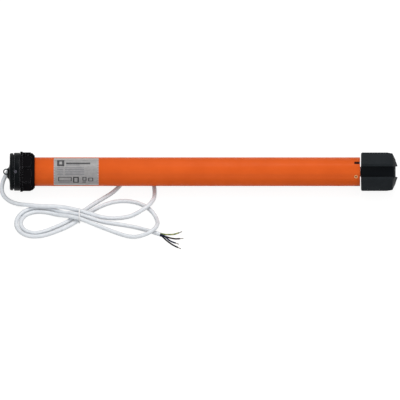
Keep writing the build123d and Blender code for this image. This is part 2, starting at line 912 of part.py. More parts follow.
def rotor_core():
    """The cage rotor: a laminated core between two end rings."""
    radius = stator_bore / 2 - air_gap
    step = radius - stator_slot_start
    outline = [
        (stack_start - end_ring_length, 0),
        (stack_start - end_ring_length, step),
        (stack_start, step),
        (stack_start, radius),
        (stack_end, radius),
        (stack_end, step),
        (stack_end + end_ring_length, step),
        (stack_end + end_ring_length, 0),
    ]
    bore_start = stack_start - end_ring_length - overrun
    bore_end = stack_end + end_ring_length + overrun
    return turned(outline) - rod(shaft_diameter / 2 + fit / 2, bore_start, bore_end)


def rotor_shaft():
    """The motor's shaft, with a thinner end for the first sun gear."""
    step = input_plate_start + input_plate_thickness
    thin_end = stage_starts[0] + gear_side_gap + stage_widths[0]
    long_part = rod(shaft_diameter / 2, rear_shield_start - shaft_tail, step)
    return long_part + rod(sun_bore_diameter / 2 - fit / 2, step, thin_end)


# Brake
def brake_magnet():
    """The magnet that pulls the brake open, with a bore for the shaft and the spring."""
    return sleeve(insert_radius, magnet_bore / 2, magnet_start, magnet_end)


def brake_spring():
    """The pressure spring of the brake, drawn as the sleeve that its turns fill."""
    outer = magnet_bore / 2 - fit
    return sleeve(outer, outer - spring_wall, magnet_start, armature_start - fit)


def brake_armature():
    """The disc that the spring presses on the brake disc, on three guide pins."""
    outer, inner = insert_radius - running_gap, shaft_diameter / 2 + running_gap
    plate = sleeve(outer, inner, armature_start, armature_end)
    hole = rod(guide_pin_diameter / 2 + fit, armature_start - overrun, armature_end + overrun)
    return plate - around(off_axis(guide_pin_circle / 2, 0) * hole, guide_pins)


def brake_disc():
    """The friction disc and its hub on the motor's shaft."""
    disc = rod(brake_disc_diameter / 2, brake_disc_start, brake_disc_end)
    hub = rod(brake_hub_diameter / 2, brake_disc_start, brake_disc_start + brake_hub_length)
    bore = rod(shaft_diameter / 2 + fit / 2, brake_disc_start - overrun, brake_disc_end + brake_hub_length)
    return disc + hub - bore


def brake_plate():
    """The fixed plate behind the brake disc, with the pins that guide the armature."""
    opening = brake_hub_diameter / 2 + running_gap
    plate = sleeve(insert_radius, opening, brake_plate_start, brake_plate_end)
    pin = rod(guide_pin_diameter / 2, magnet_end, brake_plate_start)
    return plate + around(off_axis(guide_pin_circle / 2, 0) * pin, guide_pins)


# Gearbox
def input_plate():
    """The plate that closes the gearbox towards the motor."""
    bore = shaft_diameter / 2 + running_gap
    return sleeve(insert_radius, bore, input_plate_start, ring_start)


def ring_gear():
    """The long ring gear that all the stages share."""
    body = rod(insert_radius, ring_start, cap_start)
    return body - prism(inner_gear(ring_teeth, gear_module), ring_start - overrun, cap_start + overrun)


def planet_station(stage):
    return stage_starts[stage] + gear_side_gap


def planet(stage, index):
    """A planet gear on its pin. A gap between its teeth faces the sun."""
    start = planet_station(stage)
    gear = prism(outer_gear(planet_teeth, gear_module), start, start + stage_widths[stage])
    gear -= rod(planet_pin_diameter / 2 + fit, start - overrun, start + stage_widths[stage] + overrun)
    return Rot(0, 0, 360 * index / planets) * Pos(planet_orbit, 0, 0) * gear


def sun_gear():
    """The first sun gear, pressed on the thin end of the motor's shaft."""
    start = planet_station(0)
    gear = prism(outer_gear(sun_teeth, gear_module), start, start + stage_widths[0])
    return gear - rod(sun_bore_diameter / 2, start - overrun, start + stage_widths[0] + overrun)


def carrier_body(stage):
    """The plate and pins that carry a stage's planets."""
    plate_start_station = planet_station(stage) + stage_widths[stage] + gear_side_gap
    plate_end_station = plate_start_station + carrier_plates[stage]
    radius = ring_pitch - addendum_share * gear_module - carrier_room
    plate = rod(radius, plate_start_station, plate_end_station)
    pin = rod(planet_pin_diameter / 2, planet_station(stage) - gear_side_gap / 2, plate_start_station)
    return plate + around(off_axis(planet_orbit, 0) * pin, planets), plate_end_station


def carrier_with_sun(stage):
    """A planet carrier with the next stage's sun gear on its back."""
    body, back = carrier_body(stage)
    end = planet_station(stage + 1) + stage_widths[stage + 1] + gear_side_gap / 2
    return body + prism(outer_gear(sun_teeth, gear_module), back, end)


def output_carrier():
    """The last carrier and the output shaft: journal, neck and square drive."""
    body, back = carrier_body(len(stages) - 1)
    neck_start = cap_end - cap_recess
    shaft = rod(journal_diameter / 2, back, neck_start) + rod(neck_diameter / 2, neck_start, wheel_start)
    square_end = wheel_start + drive_length
    square = prism(Rectangle(drive_square, drive_square), wheel_start, square_end)
    thread = rod(wheel_screw_shank / 2 + fit, square_end - wheel_screw_length, square_end + overrun)
    return body + shaft + square - thread


def output_bush():
    """The bronze bush of the output shaft, in the gearbox cap."""
    return sleeve(output_bush_diameter / 2, journal_diameter / 2 + fit, cap_start + fit, cap_end - cap_lip)


def gearbox_cap():
    """The cap that closes the tube, with lugs in its slots and threads for the screws."""
    cap = sleeve(insert_radius, output_bush_diameter / 2 + fit / 2, cap_start, cap_end - cap_lip)
    cap += sleeve(insert_radius, journal_diameter / 2 + running_gap, cap_end - cap_lip, cap_end)
    base = (Align.MIN, Align.CENTER, Align.MIN)
    lug_start = tube_end - slot_length + lug_room
    inner = insert_radius - tube_wall * 2
    lug = Box(tube_radius - lug_recess - inner, slot_width - lug_room * 2, cap_end - lug_start, align=base)
    cap += around(Pos(inner, 0, lug_start) * lug, fixings, slot_angle)
    station = tube_end - tube_screw_inset
    floor = tube_radius - tube_screw_length - fit
    thread = radial_rod(tube_screw_shank / 2 + fit, station, 0, floor, tube_radius)
    return cap - around(thread, fixings, tube_screw_angle)


# Drive wheel
def drive_wheel():
    """The octagonal drive wheel, with a channel in every other flat and a crossed end."""
    taper_start = wheel_end - wheel_taper_start
    taper_end = taper_start + wheel_taper_length
    edge = prism(octagon(wheel_flats), wheel_start + wheel_edge, taper_start)
    rim = wheel_flats - wheel_edge * 2
    sections = [
        Pos(0, 0, wheel_start) * octagon(rim),
        Pos(0, 0, wheel_start + wheel_edge) * octagon(wheel_flats),
    ]
    wheel = edge + loft(sections, ruled=True)
    tapered = wheel_flats - wheel_taper * 2
    nose = [
        Pos(0, 0, taper_start) * octagon(wheel_flats),
        Pos(0, 0, taper_end) * octagon(tapered),
        Pos(0, 0, wheel_end) * octagon(wheel_nose_flats),
    ]
    wheel += loft(nose, ruled=True)
    outwards = (Align.MIN, Align.CENTER, Align.CENTER)
    channel = Box(channel_depth + overrun, channel_width, wheel_length + overrun * 2, align=outwards)
    channel = Pos(wheel_flats / 2 - channel_depth, 0, wheel_start + wheel_length / 2) * channel
    wheel -= around(channel, channels, channel_angle)
    hub_end = wheel_end - end_cross_depth
    cross = Box(wheel_flats, channel_width, end_cross_depth + overrun)
    cross = Pos(0, 0, hub_end + (end_cross_depth + overrun) / 2) * cross
    wheel -= around(cross, channels, channel_angle)
    core_out = rod(core_out_diameter / 2, wheel_start - overrun, wheel_start + core_out_depth)
    wheel -= around(off_axis(core_out_circle / 2, 0) * core_out, core_outs)
    socket = Rectangle(drive_square + fit * 2, drive_square + fit * 2)
    wheel -= prism(socket, wheel_start - overrun, wheel_start + drive_length + running_gap)
    wheel -= rod(recess_diameter / 2, hub_end - recess_depth, wheel_end + overrun)
    return wheel - rod(wheel_screw_shank / 2 + fit, wheel_start, wheel_end)


def washer_station():
    return wheel_end - end_cross_depth - recess_depth


def wheel_washer():
    start = washer_station()
    return sleeve(washer_diameter / 2, wheel_screw_shank / 2 + fit, start, start + washer_thickness)


def wheel_screw():
    """The screw that holds the wheel on the square drive."""
    seat = washer_station() + washer_thickness
    head_end = seat + wheel_screw_head_height
    screw = rod(wheel_screw_head / 2, seat, head_end)
    square_end = wheel_start + drive_length
    screw += rod(wheel_screw_shank / 2, square_end - wheel_screw_length + running_gap, seat)
    socket = RegularPolygon(hex_socket / 2, hexagon_sides, major_radius=False)
    return screw - prism(socket, head_end - hex_socket_depth, head_end + overrun)


# Supply cable
def corner_radii(route):
    """The bend radius at each inner point: as large as its two runs allow."""
    points = [Vector(*p) for p in route]
    radii = []
    for before, here, after in zip(points, points[1:], points[2:]):
        turn = radians((here - before).get_angle(after - here))
        shorter = min((here - before).length, (after - here).length)
        radii.append(bend_share * shorter / tan(turn / 2))
    return radii


def cord_path(route, first_run=None, last_run=None):
    """The path along a route, or from the middle of one of its runs to that of another."""
    radii = corner_radii(route)
    points = [Vector(*p) for p in route]
    first, last = 0, len(points) - 1
    ends = [points[0], points[-1]]
    if first_run is not None:
        first = first_run
        ends[0] = (points[first_run] + points[first_run + 1]) / 2
    if last_run is not None:
        last = last_run + 1
        ends[1] = (points[last_run] + points[last_run + 1]) / 2
    inner = points[first + 1 : last]
    return FilletPolyline(ends[0], *inner, ends[1], radius=radii[first : last - 1])


def cord(path, diameter, sides):
    """A tube of a many-sided section along a path."""
    start = Plane(origin=path @ 0, z_dir=path % 0)
    section = start * RegularPolygon(diameter / 2, sides)
    tube = sweep(section, path=path)
    share = tube.volume / (section.area * path.length)
    print(f"cord {path.length:.1f} mm, volume against section by length {share:.4f}")
    return tube


def report_cord(name, route, diameter):
    """Print a route's bends, and how near it comes to itself or to the surface."""
    radii = corner_radii(route)
    listed = " ".join(f"{r / diameter:.1f}" for r in radii)
    print(f"{name}: least radius {min(radii) / diameter:.2f} diameters; all: {listed}")


def gap_to_itself(path, diameter, apart):
    """The least gap between stretches of a cord that are further apart along it."""
    step = diameter / 4
    count = int(path.length / step)
    points = path.positions([i / count for i in range(count + 1)])
    flat = [(p.X, p.Y, p.Z) for p in points]
    skip = int(apart / (path.length / count))
    least, place = 1e9, None
    for i in range(0, len(flat) - skip):
        a = flat[i]
        for b in flat[i + skip :]:
            d = (a[0] - b[0]) ** 2 + (a[1] - b[1]) ** 2 + (a[2] - b[2]) ** 2
            if d < least:
                least, place = d, (a, b)
    gap = least**0.5 - diameter
    print(f"least gap to itself {gap:.2f} mm at {place}")
    return gap


def tied_strands():
    """Circles that cover each strand over the tie's width, as (y, z) centres at the tie."""
    centres = []
    radius = cable_diameter / 2
    for a, b in zip(cable_route, cable_route[1:]):
        if (a[0] - tie_station) * (b[0] - tie_station) > 0 or abs(a[0] - b[0]) < fit:
            continue
        share = (tie_station - a[0]) / (b[0] - a[0])
        y, z = a[1] + (b[1] - a[1]) * share, a[2] + (b[2] - a[2]) * share
        slope = abs((b[1] - a[1]) / (b[0] - a[0]))
        slant = radius * ((1 + slope**2) ** 0.5 - 1) + tie_width / 2 * slope
        centres += [(y - slant, z), (y + slant, z)]
    return centres


def tie_outline(radius):
    """The shortest line about the tied strands, at a radius from their centres."""
    edges = [(Pos(y, z) * Circle(radius)).edge() for y, z in tied_strands()]
    return make_hull(ShapeList(edges))


def cable_tie():
    """The tie, drawn tight about the strands, with its head low on the far side."""
    inner = cable_diameter / 2 + tie_clearance
    band = tie_outline(inner + tie_wall) - tie_outline(inner)
    far_side = tie_outline(inner + tie_wall).bounding_box().max.X - tie_wall / 2
    lowest = min(z for y, z in tied_strands())
    head = Rectangle(tie_head_depth, tie_head_height, align=(Align.MIN, Align.CENTER))
    head = extrude(Pos(far_side, lowest) * head, tie_head_width / 2, both=True)
    frame = Plane(origin=(tie_station, 0, 0), x_dir=(0, 1, 0), z_dir=(1, 0, 0))
    return frame.location * (extrude(band, tie_width / 2, both=True) + head)


def core_tip(route):
    """The bare end of a core, straight on from where its sleeve stops."""
    end, before = Vector(*route[-1]), Vector(*route[-2])
    frame = Plane(origin=end, z_dir=end - before)
    return frame.location * rod(tip_diameter / 2, 0, tip_length)


def build():
    nodes = {
        "motor_tube": placed(motor_tube()),
        "rating_label": placed(rating_label()),
        "tube_screws": [placed(s) for s in tube_screws()],
        "head_cap": placed(head_cap()),
        "head_body": placed(head_body()),
        "head_screws": [placed(s) for s in head_screws()],
        "limit_screw_up": placed(limit_screw(limit_screw_angle)),
        "limit_screw_down": placed(limit_screw(limit_screw_angle + 180)),
        "cable_gland": placed(cable_gland()),
        "retaining_clip": placed(retaining_clip()),
        "crown": placed(crown()),
        "limit_pinion": placed(limit_pinion()),
        "limit_cams": [placed(c) for c in limit_cams()],
        "limit_chassis": placed(limit_chassis()),
        "limit_switches": [placed(s) for s in limit_switches()],
        "capacitor": placed(capacitor()),
        "capacitor_clamp": placed(capacitor_clamp()),
        "rear_end_shield": placed(end_shield(rear_shield_start)),
        "rear_shaft_bush": placed(shaft_bush(rear_shield_start)),
        "stator_stack": placed(stator_stack()),
        "stator_winding": placed(stator_winding()),
        "rotor_core": placed(rotor_core()),
        "rotor_shaft": placed(rotor_shaft()),
        "front_end_shield": placed(end_shield(front_shield_start)),
        "front_shaft_bush": placed(shaft_bush(front_shield_start)),
        "brake_magnet": placed(brake_magnet()),
        "brake_spring": placed(brake_spring()),
        "brake_armature": placed(brake_armature()),
        "brake_disc": placed(brake_disc()),
        "brake_plate": placed(brake_plate()),
        "gearbox_input_plate": placed(input_plate()),
        "ring_gear": placed(ring_gear()),
        "sun_gear": placed(sun_gear()),
        "first_carrier": placed(carrier_with_sun(0)),
        "second_carrier": placed(carrier_with_sun(1)),
        "output_carrier": placed(output_carrier()),
        "output_bush": placed(output_bush()),
        "gearbox_cap": placed(gearbox_cap()),
        "drive_wheel": placed(drive_wheel()),
        "wheel_washer": placed(wheel_washer()),
        "wheel_screw": placed(wheel_screw()),
    }
    for stage, name in enumerate(stages):
        for index in range(planets):
            nodes[f"{name}_planet_{index + 1}"] = placed(planet(stage, index))

    report_cord("supply cable", cable_route, cable_diameter)
    nodes["supply_cable_lead"] = cord(
        cord_path(cable_route, None, lead_end_run), cable_diameter, cord_sides
    )
    nodes["supply_cable_hank"] = cord(
        cord_path(cable_route, lead_end_run, hank_end_run), cable_diameter, cord_sides
    )
    nodes["supply_cable_tail"] = cord(
        cord_path(cable_route, hank_end_run, None), cable_diameter, cord_sides
    )
    whole = cord_path(cable_route)
    print(f"supply cable, whole length {whole.length:.1f} mm")
    gap = gap_to_itself(whole, cable_diameter, cable_diameter * 4)
    if gap < least_gap:
        print("the supply cable comes too near to itself")
    nodes["cable_tie"] = cable_tie()
    for name, route in core_routes.items():
        report_cord(name, route, core_diameter)
        nodes[name] = cord(cord_path(route), core_diameter, cord_sides)
    nodes["core_tips"] = [core_tip(route) for route in core_routes.values()]
    return nodes


os.makedirs("parts", exist_ok=True)
for name, shape in build().items():
    if isinstance(shape, list):
        shape = Compound(children=[s.solid() for s in shape])
    elif len(shape.solids()) == 1:
        shape = shape.solid()
    export_step(shape, f"parts/{name}.step")
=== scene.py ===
# %% [markdown]
# A tubular roller blind motor
#
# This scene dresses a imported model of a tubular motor: a long orange steel tube, a black head
# with the supply cable, an idling crown and an octagonal drive wheel. The model comes in as a
# fixed frame. Its pieces keep their shape and place, and what is added here rides on them.
# Blender works in metres, and the sizes below are written in millimetres.

# %% Load the frame
import math

import bmesh
import bpy
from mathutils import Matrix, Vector


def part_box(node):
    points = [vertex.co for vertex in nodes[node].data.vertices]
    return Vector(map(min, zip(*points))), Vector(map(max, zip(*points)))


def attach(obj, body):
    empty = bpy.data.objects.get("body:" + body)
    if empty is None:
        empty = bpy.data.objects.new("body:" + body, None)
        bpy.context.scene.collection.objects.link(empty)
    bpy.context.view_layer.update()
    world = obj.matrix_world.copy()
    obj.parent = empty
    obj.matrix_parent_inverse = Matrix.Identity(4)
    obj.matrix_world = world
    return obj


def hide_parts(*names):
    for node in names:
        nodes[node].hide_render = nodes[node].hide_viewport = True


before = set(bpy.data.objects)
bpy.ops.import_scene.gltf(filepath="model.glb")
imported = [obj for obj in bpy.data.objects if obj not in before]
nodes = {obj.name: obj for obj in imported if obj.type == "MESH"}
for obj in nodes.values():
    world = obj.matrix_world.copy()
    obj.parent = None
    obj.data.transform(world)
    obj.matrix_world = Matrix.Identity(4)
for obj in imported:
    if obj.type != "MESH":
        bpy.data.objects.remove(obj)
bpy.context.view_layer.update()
MM = 0.001
print("pieces in the frame:", len(nodes))

# %% [markdown]
# The camera
#
# The motor was seen from in front and from half way up, from so far that parallel edges stay
# parallel: the white gap before the wheel is open over the tube's whole height. A very long
# lens from far away does the same. The camera is aimed at a point a little below the motor's
# axis, because the cable fills the lower half of the picture. An orthographic camera would
# serve as well, but a long lens lets other views of the same scene fit themselves.

# %% Camera
picture_width = 0.625
lens, sensor = 1500.0, 36.0
elevation = math.radians(45)
axis_height = 31.5 * MM
aim_below_axis = 44.2 * MM
aim_x = -0.4 * MM


def add_object(name, data):
    """An object in the scene that holds a camera, a lamp, a mesh or a curve."""
    thing = bpy.data.objects.new(name, data)
    bpy.context.scene.collection.objects.link(thing)
    return thing


camera = add_object("camera", bpy.data.cameras.new("camera"))
bpy.context.scene.camera = camera
camera.data.lens, camera.data.sensor_width = lens, sensor
back = Vector((0, -math.cos(elevation), math.sin(elevation)))
up = Vector((0, math.sin(elevation), math.cos(elevation)))
aim = Vector((aim_x, 0, axis_height)) - up * aim_below_axis
camera.location = aim + back * (picture_width * lens / sensor)
camera.rotation_mode = "QUATERNION"
camera.rotation_quaternion = (-back).to_track_quat("-Z", "Y")
print("camera distance", round((camera.location - aim).length, 3))

# %% [markdown]
# Sums in a material
#
# A material in Blender is a net of nodes, and one kind of node does sums. The white surface needs
# them to tell kinds of light rays apart. Later they find the places on a piece that have another
# colour: a stripe round a wire, a socket in a screw, the bottom of a channel. Writing each node
# out would take five lines every time, so one function adds a node and joins it up.

# %% A sum
def math_step(tree, operation, first, second=0.0):
    """One sum on values or on the results of other nodes."""
    step = tree.nodes.new("ShaderNodeMath")
    step.operation = operation
    for value, socket in ((first, step.inputs[0]), (second, step.inputs[1])):
        if isinstance(value, (int, float)):
            socket.default_value = value
        else:
            tree.links.new(value, socket)
    return step.outputs[0]


print("helper ready: math_step")

# %% [markdown]
# The white surface
#
# The motor lies on a white surface, with hardly a shadow. A floor of plain white would throw too
# much light up at the tube. So the floor has two sides. Rays from the camera and in reflections
# see a glowing white that still darkens a little under the motor. Rays of bounced light see a
# duller one. A white backdrop without a floor would be simpler, but it would lose the shadow.

# %% Who sees the white
direct_rays = ("Is Camera Ray", "Is Glossy Ray", "Is Transmission Ray")


def seen_directly(tree):
    """One where a ray comes from the camera, a reflection or through glass."""
    path = tree.nodes.new("ShaderNodeLightPath")
    total = path.outputs[direct_rays[0]]
    for kind in direct_rays[1:]:
        total = math_step(tree, "MAXIMUM", total, path.outputs[kind])
    return total


print("rays that see the white:", ", ".join(direct_rays))

# %% [markdown]
# A face for the surface
#
# The surface is one large square, whose edges lie far outside the picture. The motor lies on it
# at the height of zero. A plane from Blender's menu would be the same four points. The floor
# belongs to the stage and not to the motor.

# %% Floor
floor_half = 4.0
floor_signs = [(-1, -1), (1, -1), (1, 1), (-1, 1)]
floor_corners = [(x * floor_half, y * floor_half, 0) for x, y in floor_signs]

floor_mesh = bpy.data.meshes.new("floor")
floor_mesh.from_pydata(floor_corners, [], [(0, 1, 2, 3)])
floor = add_object("floor", floor_mesh)
print("floor:", 2 * floor_half, "m wide")

# %% [markdown]
# The two sides of the white
#
# What the camera sees is a glow with a little grey on top of it: the grey takes the shadow, and
# the glow keeps it faint. What bounces light back is a plain dull white. A mix shader chooses
# between them for each ray.

# %% Finish of the floor
floor_bounce, floor_shown, floor_glow = 0.32, 0.20, 0.90

floor_finish = bpy.data.materials.new("white_surface")
floor_finish.use_nodes = True
tree = floor_finish.node_tree
tree.nodes.clear()
bounce = tree.nodes.new("ShaderNodeBsdfDiffuse")
bounce.inputs["Color"].default_value = (floor_bounce,) * 3 + (1,)
shown = tree.nodes.new("ShaderNodeBsdfDiffuse")
shown.inputs["Color"].default_value = (floor_shown,) * 3 + (1,)
glow = tree.nodes.new("ShaderNodeEmission")
glow.inputs["Strength"].default_value = floor_glow
both = tree.nodes.new("ShaderNodeAddShader")
tree.links.new(shown.outputs[0], both.inputs[0])
tree.links.new(glow.outputs[0], both.inputs[1])
choice = tree.nodes.new("ShaderNodeMixShader")
tree.links.new(seen_directly(tree), choice.inputs[0])
tree.links.new(bounce.outputs[0], choice.inputs[1])
tree.links.new(both.outputs[0], choice.inputs[2])
out = tree.nodes.new("ShaderNodeOutputMaterial")
tree.links.new(choice.outputs[0], out.inputs["Surface"])
floor_mesh.materials.append(floor_finish)
print("floor glow:", floor_glow)

# %% [markdown]
# Ranges in a material
#
# Light, colour and roughness often go from one value to another along a direction or with a
# noise. One node carries a value over from one range to another. Sums could do it as well, but
# this node also holds the value at the ends of the range.

# %% From one range to another
def add_range(tree, value, source, target):
    """The value carried over from one range to another, and held at its ends."""
    carried = tree.nodes.new("ShaderNodeMapRange")
    carried.inputs["From Min"].default_value = source[0]
    carried.inputs["From Max"].default_value = source[1]
    carried.inputs["To Min"].default_value = target[0]
    carried.inputs["To Max"].default_value = target[1]
    tree.links.new(value, carried.inputs["Value"])
    return carried.outputs["Result"]


print("helper ready: add_range")

# %% [markdown]
# The sky
#
# The light comes from a sky that is bright in front and dim behind, as in a light tent that is
# open at the back. Each strand of the cable then has a white lower side and a grey upper edge. An
# even sky would flatten the strands. The camera and reflections see plain white instead, so the
# background stays white at every angle.

# %% Sky
light_in_front, light_behind = 1.0, 0.16
sky_turn = 0.8
plain_white = (1, 1, 1, 1)

world = bpy.data.worlds.new("soft_white")
bpy.context.scene.world = world
world.use_nodes = True
tree = world.node_tree
tree.nodes.clear()
direction = tree.nodes.new("ShaderNodeTexCoord")
split = tree.nodes.new("ShaderNodeSeparateXYZ")
tree.links.new(direction.outputs["Generated"], split.inputs[0])
sky_light = (light_in_front, light_behind)
strength = add_range(tree, split.outputs["Y"], (-sky_turn, sky_turn), sky_light)
soft = tree.nodes.new("ShaderNodeBackground")
soft.inputs["Color"].default_value = plain_white
tree.links.new(strength, soft.inputs["Strength"])
white = tree.nodes.new("ShaderNodeBackground")
white.inputs["Color"].default_value = plain_white
white.inputs["Strength"].default_value = 1.0
choice = tree.nodes.new("ShaderNodeMixShader")
tree.links.new(seen_directly(tree), choice.inputs[0])
tree.links.new(soft.outputs[0], choice.inputs[1])
tree.links.new(white.outputs[0], choice.inputs[2])
out = tree.nodes.new("ShaderNodeOutputWorld")
tree.links.new(choice.outputs[0], out.inputs["Surface"])
bpy.context.scene.view_settings.view_transform = "Standard"
print("sky in front and behind:", light_in_front, light_behind)

# %% [markdown]
# The lamps
#
# A large soft lamp above and a little behind draws the bright line high on the tube. A weak one,
# low in front, lifts the lower flats of the wheel, which the sky alone leaves too dark. Both are
# wide, so that no hard shadow falls on the surface. The sun that Blender offers would be simpler,
# but its light is as hard as at noon. In each row stand the place and the size in metres, and the
# power in watts.

# %% Lamps
lamps = {
    "overhead_lamp": ((0.1, 0.6, 1.8), 1.1, 17.0),
    "low_front_lamp": ((0.0, -1.7, 0.3), 1.0, 3.6),
}


def add_lamp(name, place, size, power):
    """A square soft lamp that faces the middle of the scene."""
    lamp = bpy.data.lights.new(name, "AREA")
    lamp.size, lamp.energy = size, power
    holder = add_object(name, lamp)
    holder.location = place
    holder.rotation_mode = "QUATERNION"
    holder.rotation_quaternion = (-Vector(place)).to_track_quat("-Z", "Y")


for name, (place, size, power) in lamps.items():
    add_lamp(name, place, size, power)
    print(name, "of", power, "watts")

# %% [markdown]
# The way of the supply cable
#
# A white four-core cable leaves the boss of the head, falls to the surface and lies in a loose
# figure of eight, held by one tie where its strands cross. It is one smooth curve with a round
# section. A mesh swept along a few arcs would look like bent wire, so the curve is a spline, and
# these are the places in millimetres that it passes near.
#
# The middle of a strand that lies flat is half a diameter above the surface. Where strands cross,
# the upper ones ride about one diameter higher. The route is written in stretches, in the order
# in which a hand would lay the cable. The first comes down from the head and goes over the others.

# %% Cable from the head
cable_diameter = 6.5
lead = [
    (-298.6, 6.2, 28.9),
    (-306.2, -1.25, 20.6),
    (-310.0, -9.6, 12.0),
    (-310.2, -19.0, 6.0),
    (-305.2, -29.6, 3.6),
    (-295.5, -39.4, 3.8),
    (-283.0, -46.8, 6.2),
    (-270.0, -51.8, 10.2),
]
first_crossing = [
    (-256.0, -54.8, 10.9),
    (-241.0, -55.6, 10.9),
    (-226.0, -56.0, 10.9),
    (-212.0, -58.0, 11.0),
    (-199.0, -62.4, 11.9),
    (-186.0, -67.8, 12.2),
    (-172.0, -71.8, 11.4),
]
print("points from the head:", len(lead) + len(first_crossing))

# %% [markdown]
# The first loop at the right
#
# The cable comes down to the surface and climbs once more over a strand on its way. Then it turns
# under the tube. A loop of constant radius would look drawn with compasses, and the real cable
# keeps the uneven bends of the bundle in which it was sold.

# %% First loop at the right
first_right_loop = [
    (-157.0, -73.6, 5.6),
    (-140.0, -74.8, 3.25),
    (-122.0, -73.8, 3.25),
    (-107.0, -70.6, 4.4),
    (-94.0, -65.0, 8.8),
    (-83.4, -57.4, 11.0),
    (-75.6, -46.6, 11.0),
    (-71.8, -33.4, 7.4),
    (-71.2, -18.6, 3.5),
    (-71.9, -3.6, 3.25),
    (-76.2, 10.8, 3.25),
    (-87.1, 20.6, 3.25),
    (-101.2, 22.9, 3.25),
    (-114.0, 16.8, 3.25),
    (-121.8, 4.6, 3.25),
]
print("points at the right:", len(first_right_loop))

# %% [markdown]
# The first loop at the left
#
# From there the cable runs back flat on the surface, below the strands that came first, and turns
# at the left. Where it lies on another strand's flank it is lifted by a millimetre or so.

# %% First loop at the left
first_way_back = [
    (-129.0, -8.0, 3.25),
    (-139.0, -20.2, 3.25),
    (-153.0, -31.6, 3.25),
    (-168.0, -44.6, 3.25),
    (-181.0, -58.2, 4.6),
    (-192.5, -70.8, 4.6),
    (-206.0, -81.6, 3.25),
    (-221.0, -91.4, 3.25),
    (-235.0, -99.4, 3.25),
]
first_left_loop = [
    (-247.5, -105.6, 3.25),
    (-259.5, -107.8, 3.25),
    (-271.2, -103.6, 3.25),
    (-278.9, -93.9, 3.25),
    (-280.4, -81.6, 3.25),
    (-275.6, -70.2, 3.25),
    (-265.8, -62.7, 3.25),
    (-253.2, -59.6, 3.25),
]
print("points at the left:", len(first_way_back) + len(first_left_loop))

# %% [markdown]
# The second loop at the right
#
# A second figure of eight lies beside the first. A cable that is wound this way doesn't twist.
# The loops have nearly one size, but no loop lies exactly on another, so every point was given
# one by one. Copies of the first loop would show at once.

# %% Second loop at the right
second_crossing = [
    (-238.0, -61.8, 3.25),
    (-223.0, -68.2, 4.4),
    (-209.5, -75.2, 9.6),
    (-197.0, -80.8, 12.2),
    (-183.5, -86.0, 12.0),
    (-167.5, -90.4, 7.0),
    (-150.0, -96.4, 3.25),
]
second_right_loop = [
    (-132.5, -105.6, 3.25),
    (-117.0, -113.0, 3.25),
    (-102.7, -117.2, 4.2),
    (-88.7, -117.4, 8.6),
    (-77.1, -112.6, 11.2),
    (-69.2, -102.9, 11.2),
    (-66.1, -90.8, 8.0),
    (-67.6, -77.9, 4.0),
    (-71.7, -65.5, 3.25),
    (-79.2, -54.3, 3.25),
    (-89.2, -45.3, 3.25),
    (-101.7, -38.9, 3.25),
    (-116.5, -36.2, 3.25),
    (-131.5, -37.3, 3.25),
    (-145.8, -42.4, 3.25),
]
print("points at the right:", len(second_crossing) + len(second_right_loop))

# %% [markdown]
# The second loop at the left
#
# The second way back lies beside the first one, a little higher where it meets the strands that
# cross there. The second loop at the left then goes round outside the first.

# %% Second loop at the left
second_way_back = [
    (-159.5, -50.8, 3.25),
    (-172.0, -61.2, 3.5),
    (-184.0, -73.4, 4.6),
    (-196.0, -85.6, 4.6),
    (-210.0, -95.6, 3.25),
    (-226.0, -104.4, 3.25),
    (-241.0, -111.8, 3.25),
]
second_left_loop = [
    (-258.0, -115.6, 3.25),
    (-274.4, -111.6, 3.25),
    (-285.6, -98.6, 3.25),
    (-288.0, -81.4, 3.25),
    (-281.6, -65.4, 3.25),
    (-269.0, -55.2, 3.25),
    (-254.0, -51.8, 3.25),
]
print("points at the left:", len(second_way_back) + len(second_left_loop))

# %% [markdown]
# The end of the cable
#
# The last stretch crosses the hank once more and ends free on the surface. The stretches in a
# row are the route. The neighbours of a point pull the curve towards themselves, so it passes
# near the points and hardly ever through them.

# %% End of the cable
tail = [
    (-239.0, -53.2, 3.25),
    (-225.0, -58.2, 3.5),
    (-212.0, -65.8, 6.2),
    (-199.0, -71.8, 11.9),
    (-185.5, -76.2, 12.3),
    (-169.0, -79.8, 7.4),
    (-151.0, -83.0, 3.25),
    (-133.0, -86.8, 3.25),
    (-115.0, -90.4, 3.25),
    (-97.0, -95.6, 3.25),
    (-79.5, -102.2, 3.25),
    (-62.0, -110.3, 3.25),
]
cable_route = [
    *lead,
    *first_crossing,
    *first_right_loop,
    *first_way_back,
    *first_left_loop,
    *second_crossing,
    *second_right_loop,
    *second_way_back,
    *second_left_loop,
    *tail,
]
print("cable points:", len(cable_route))

# %% [markdown]
# The way of the four cores
#
# Past the end of the sheath the four cores spread like fingers. Each starts inside the sheath,
# two above and two below, and comes down to lie on the surface. They could be one mesh, but as
# four splines each can be bent alone.

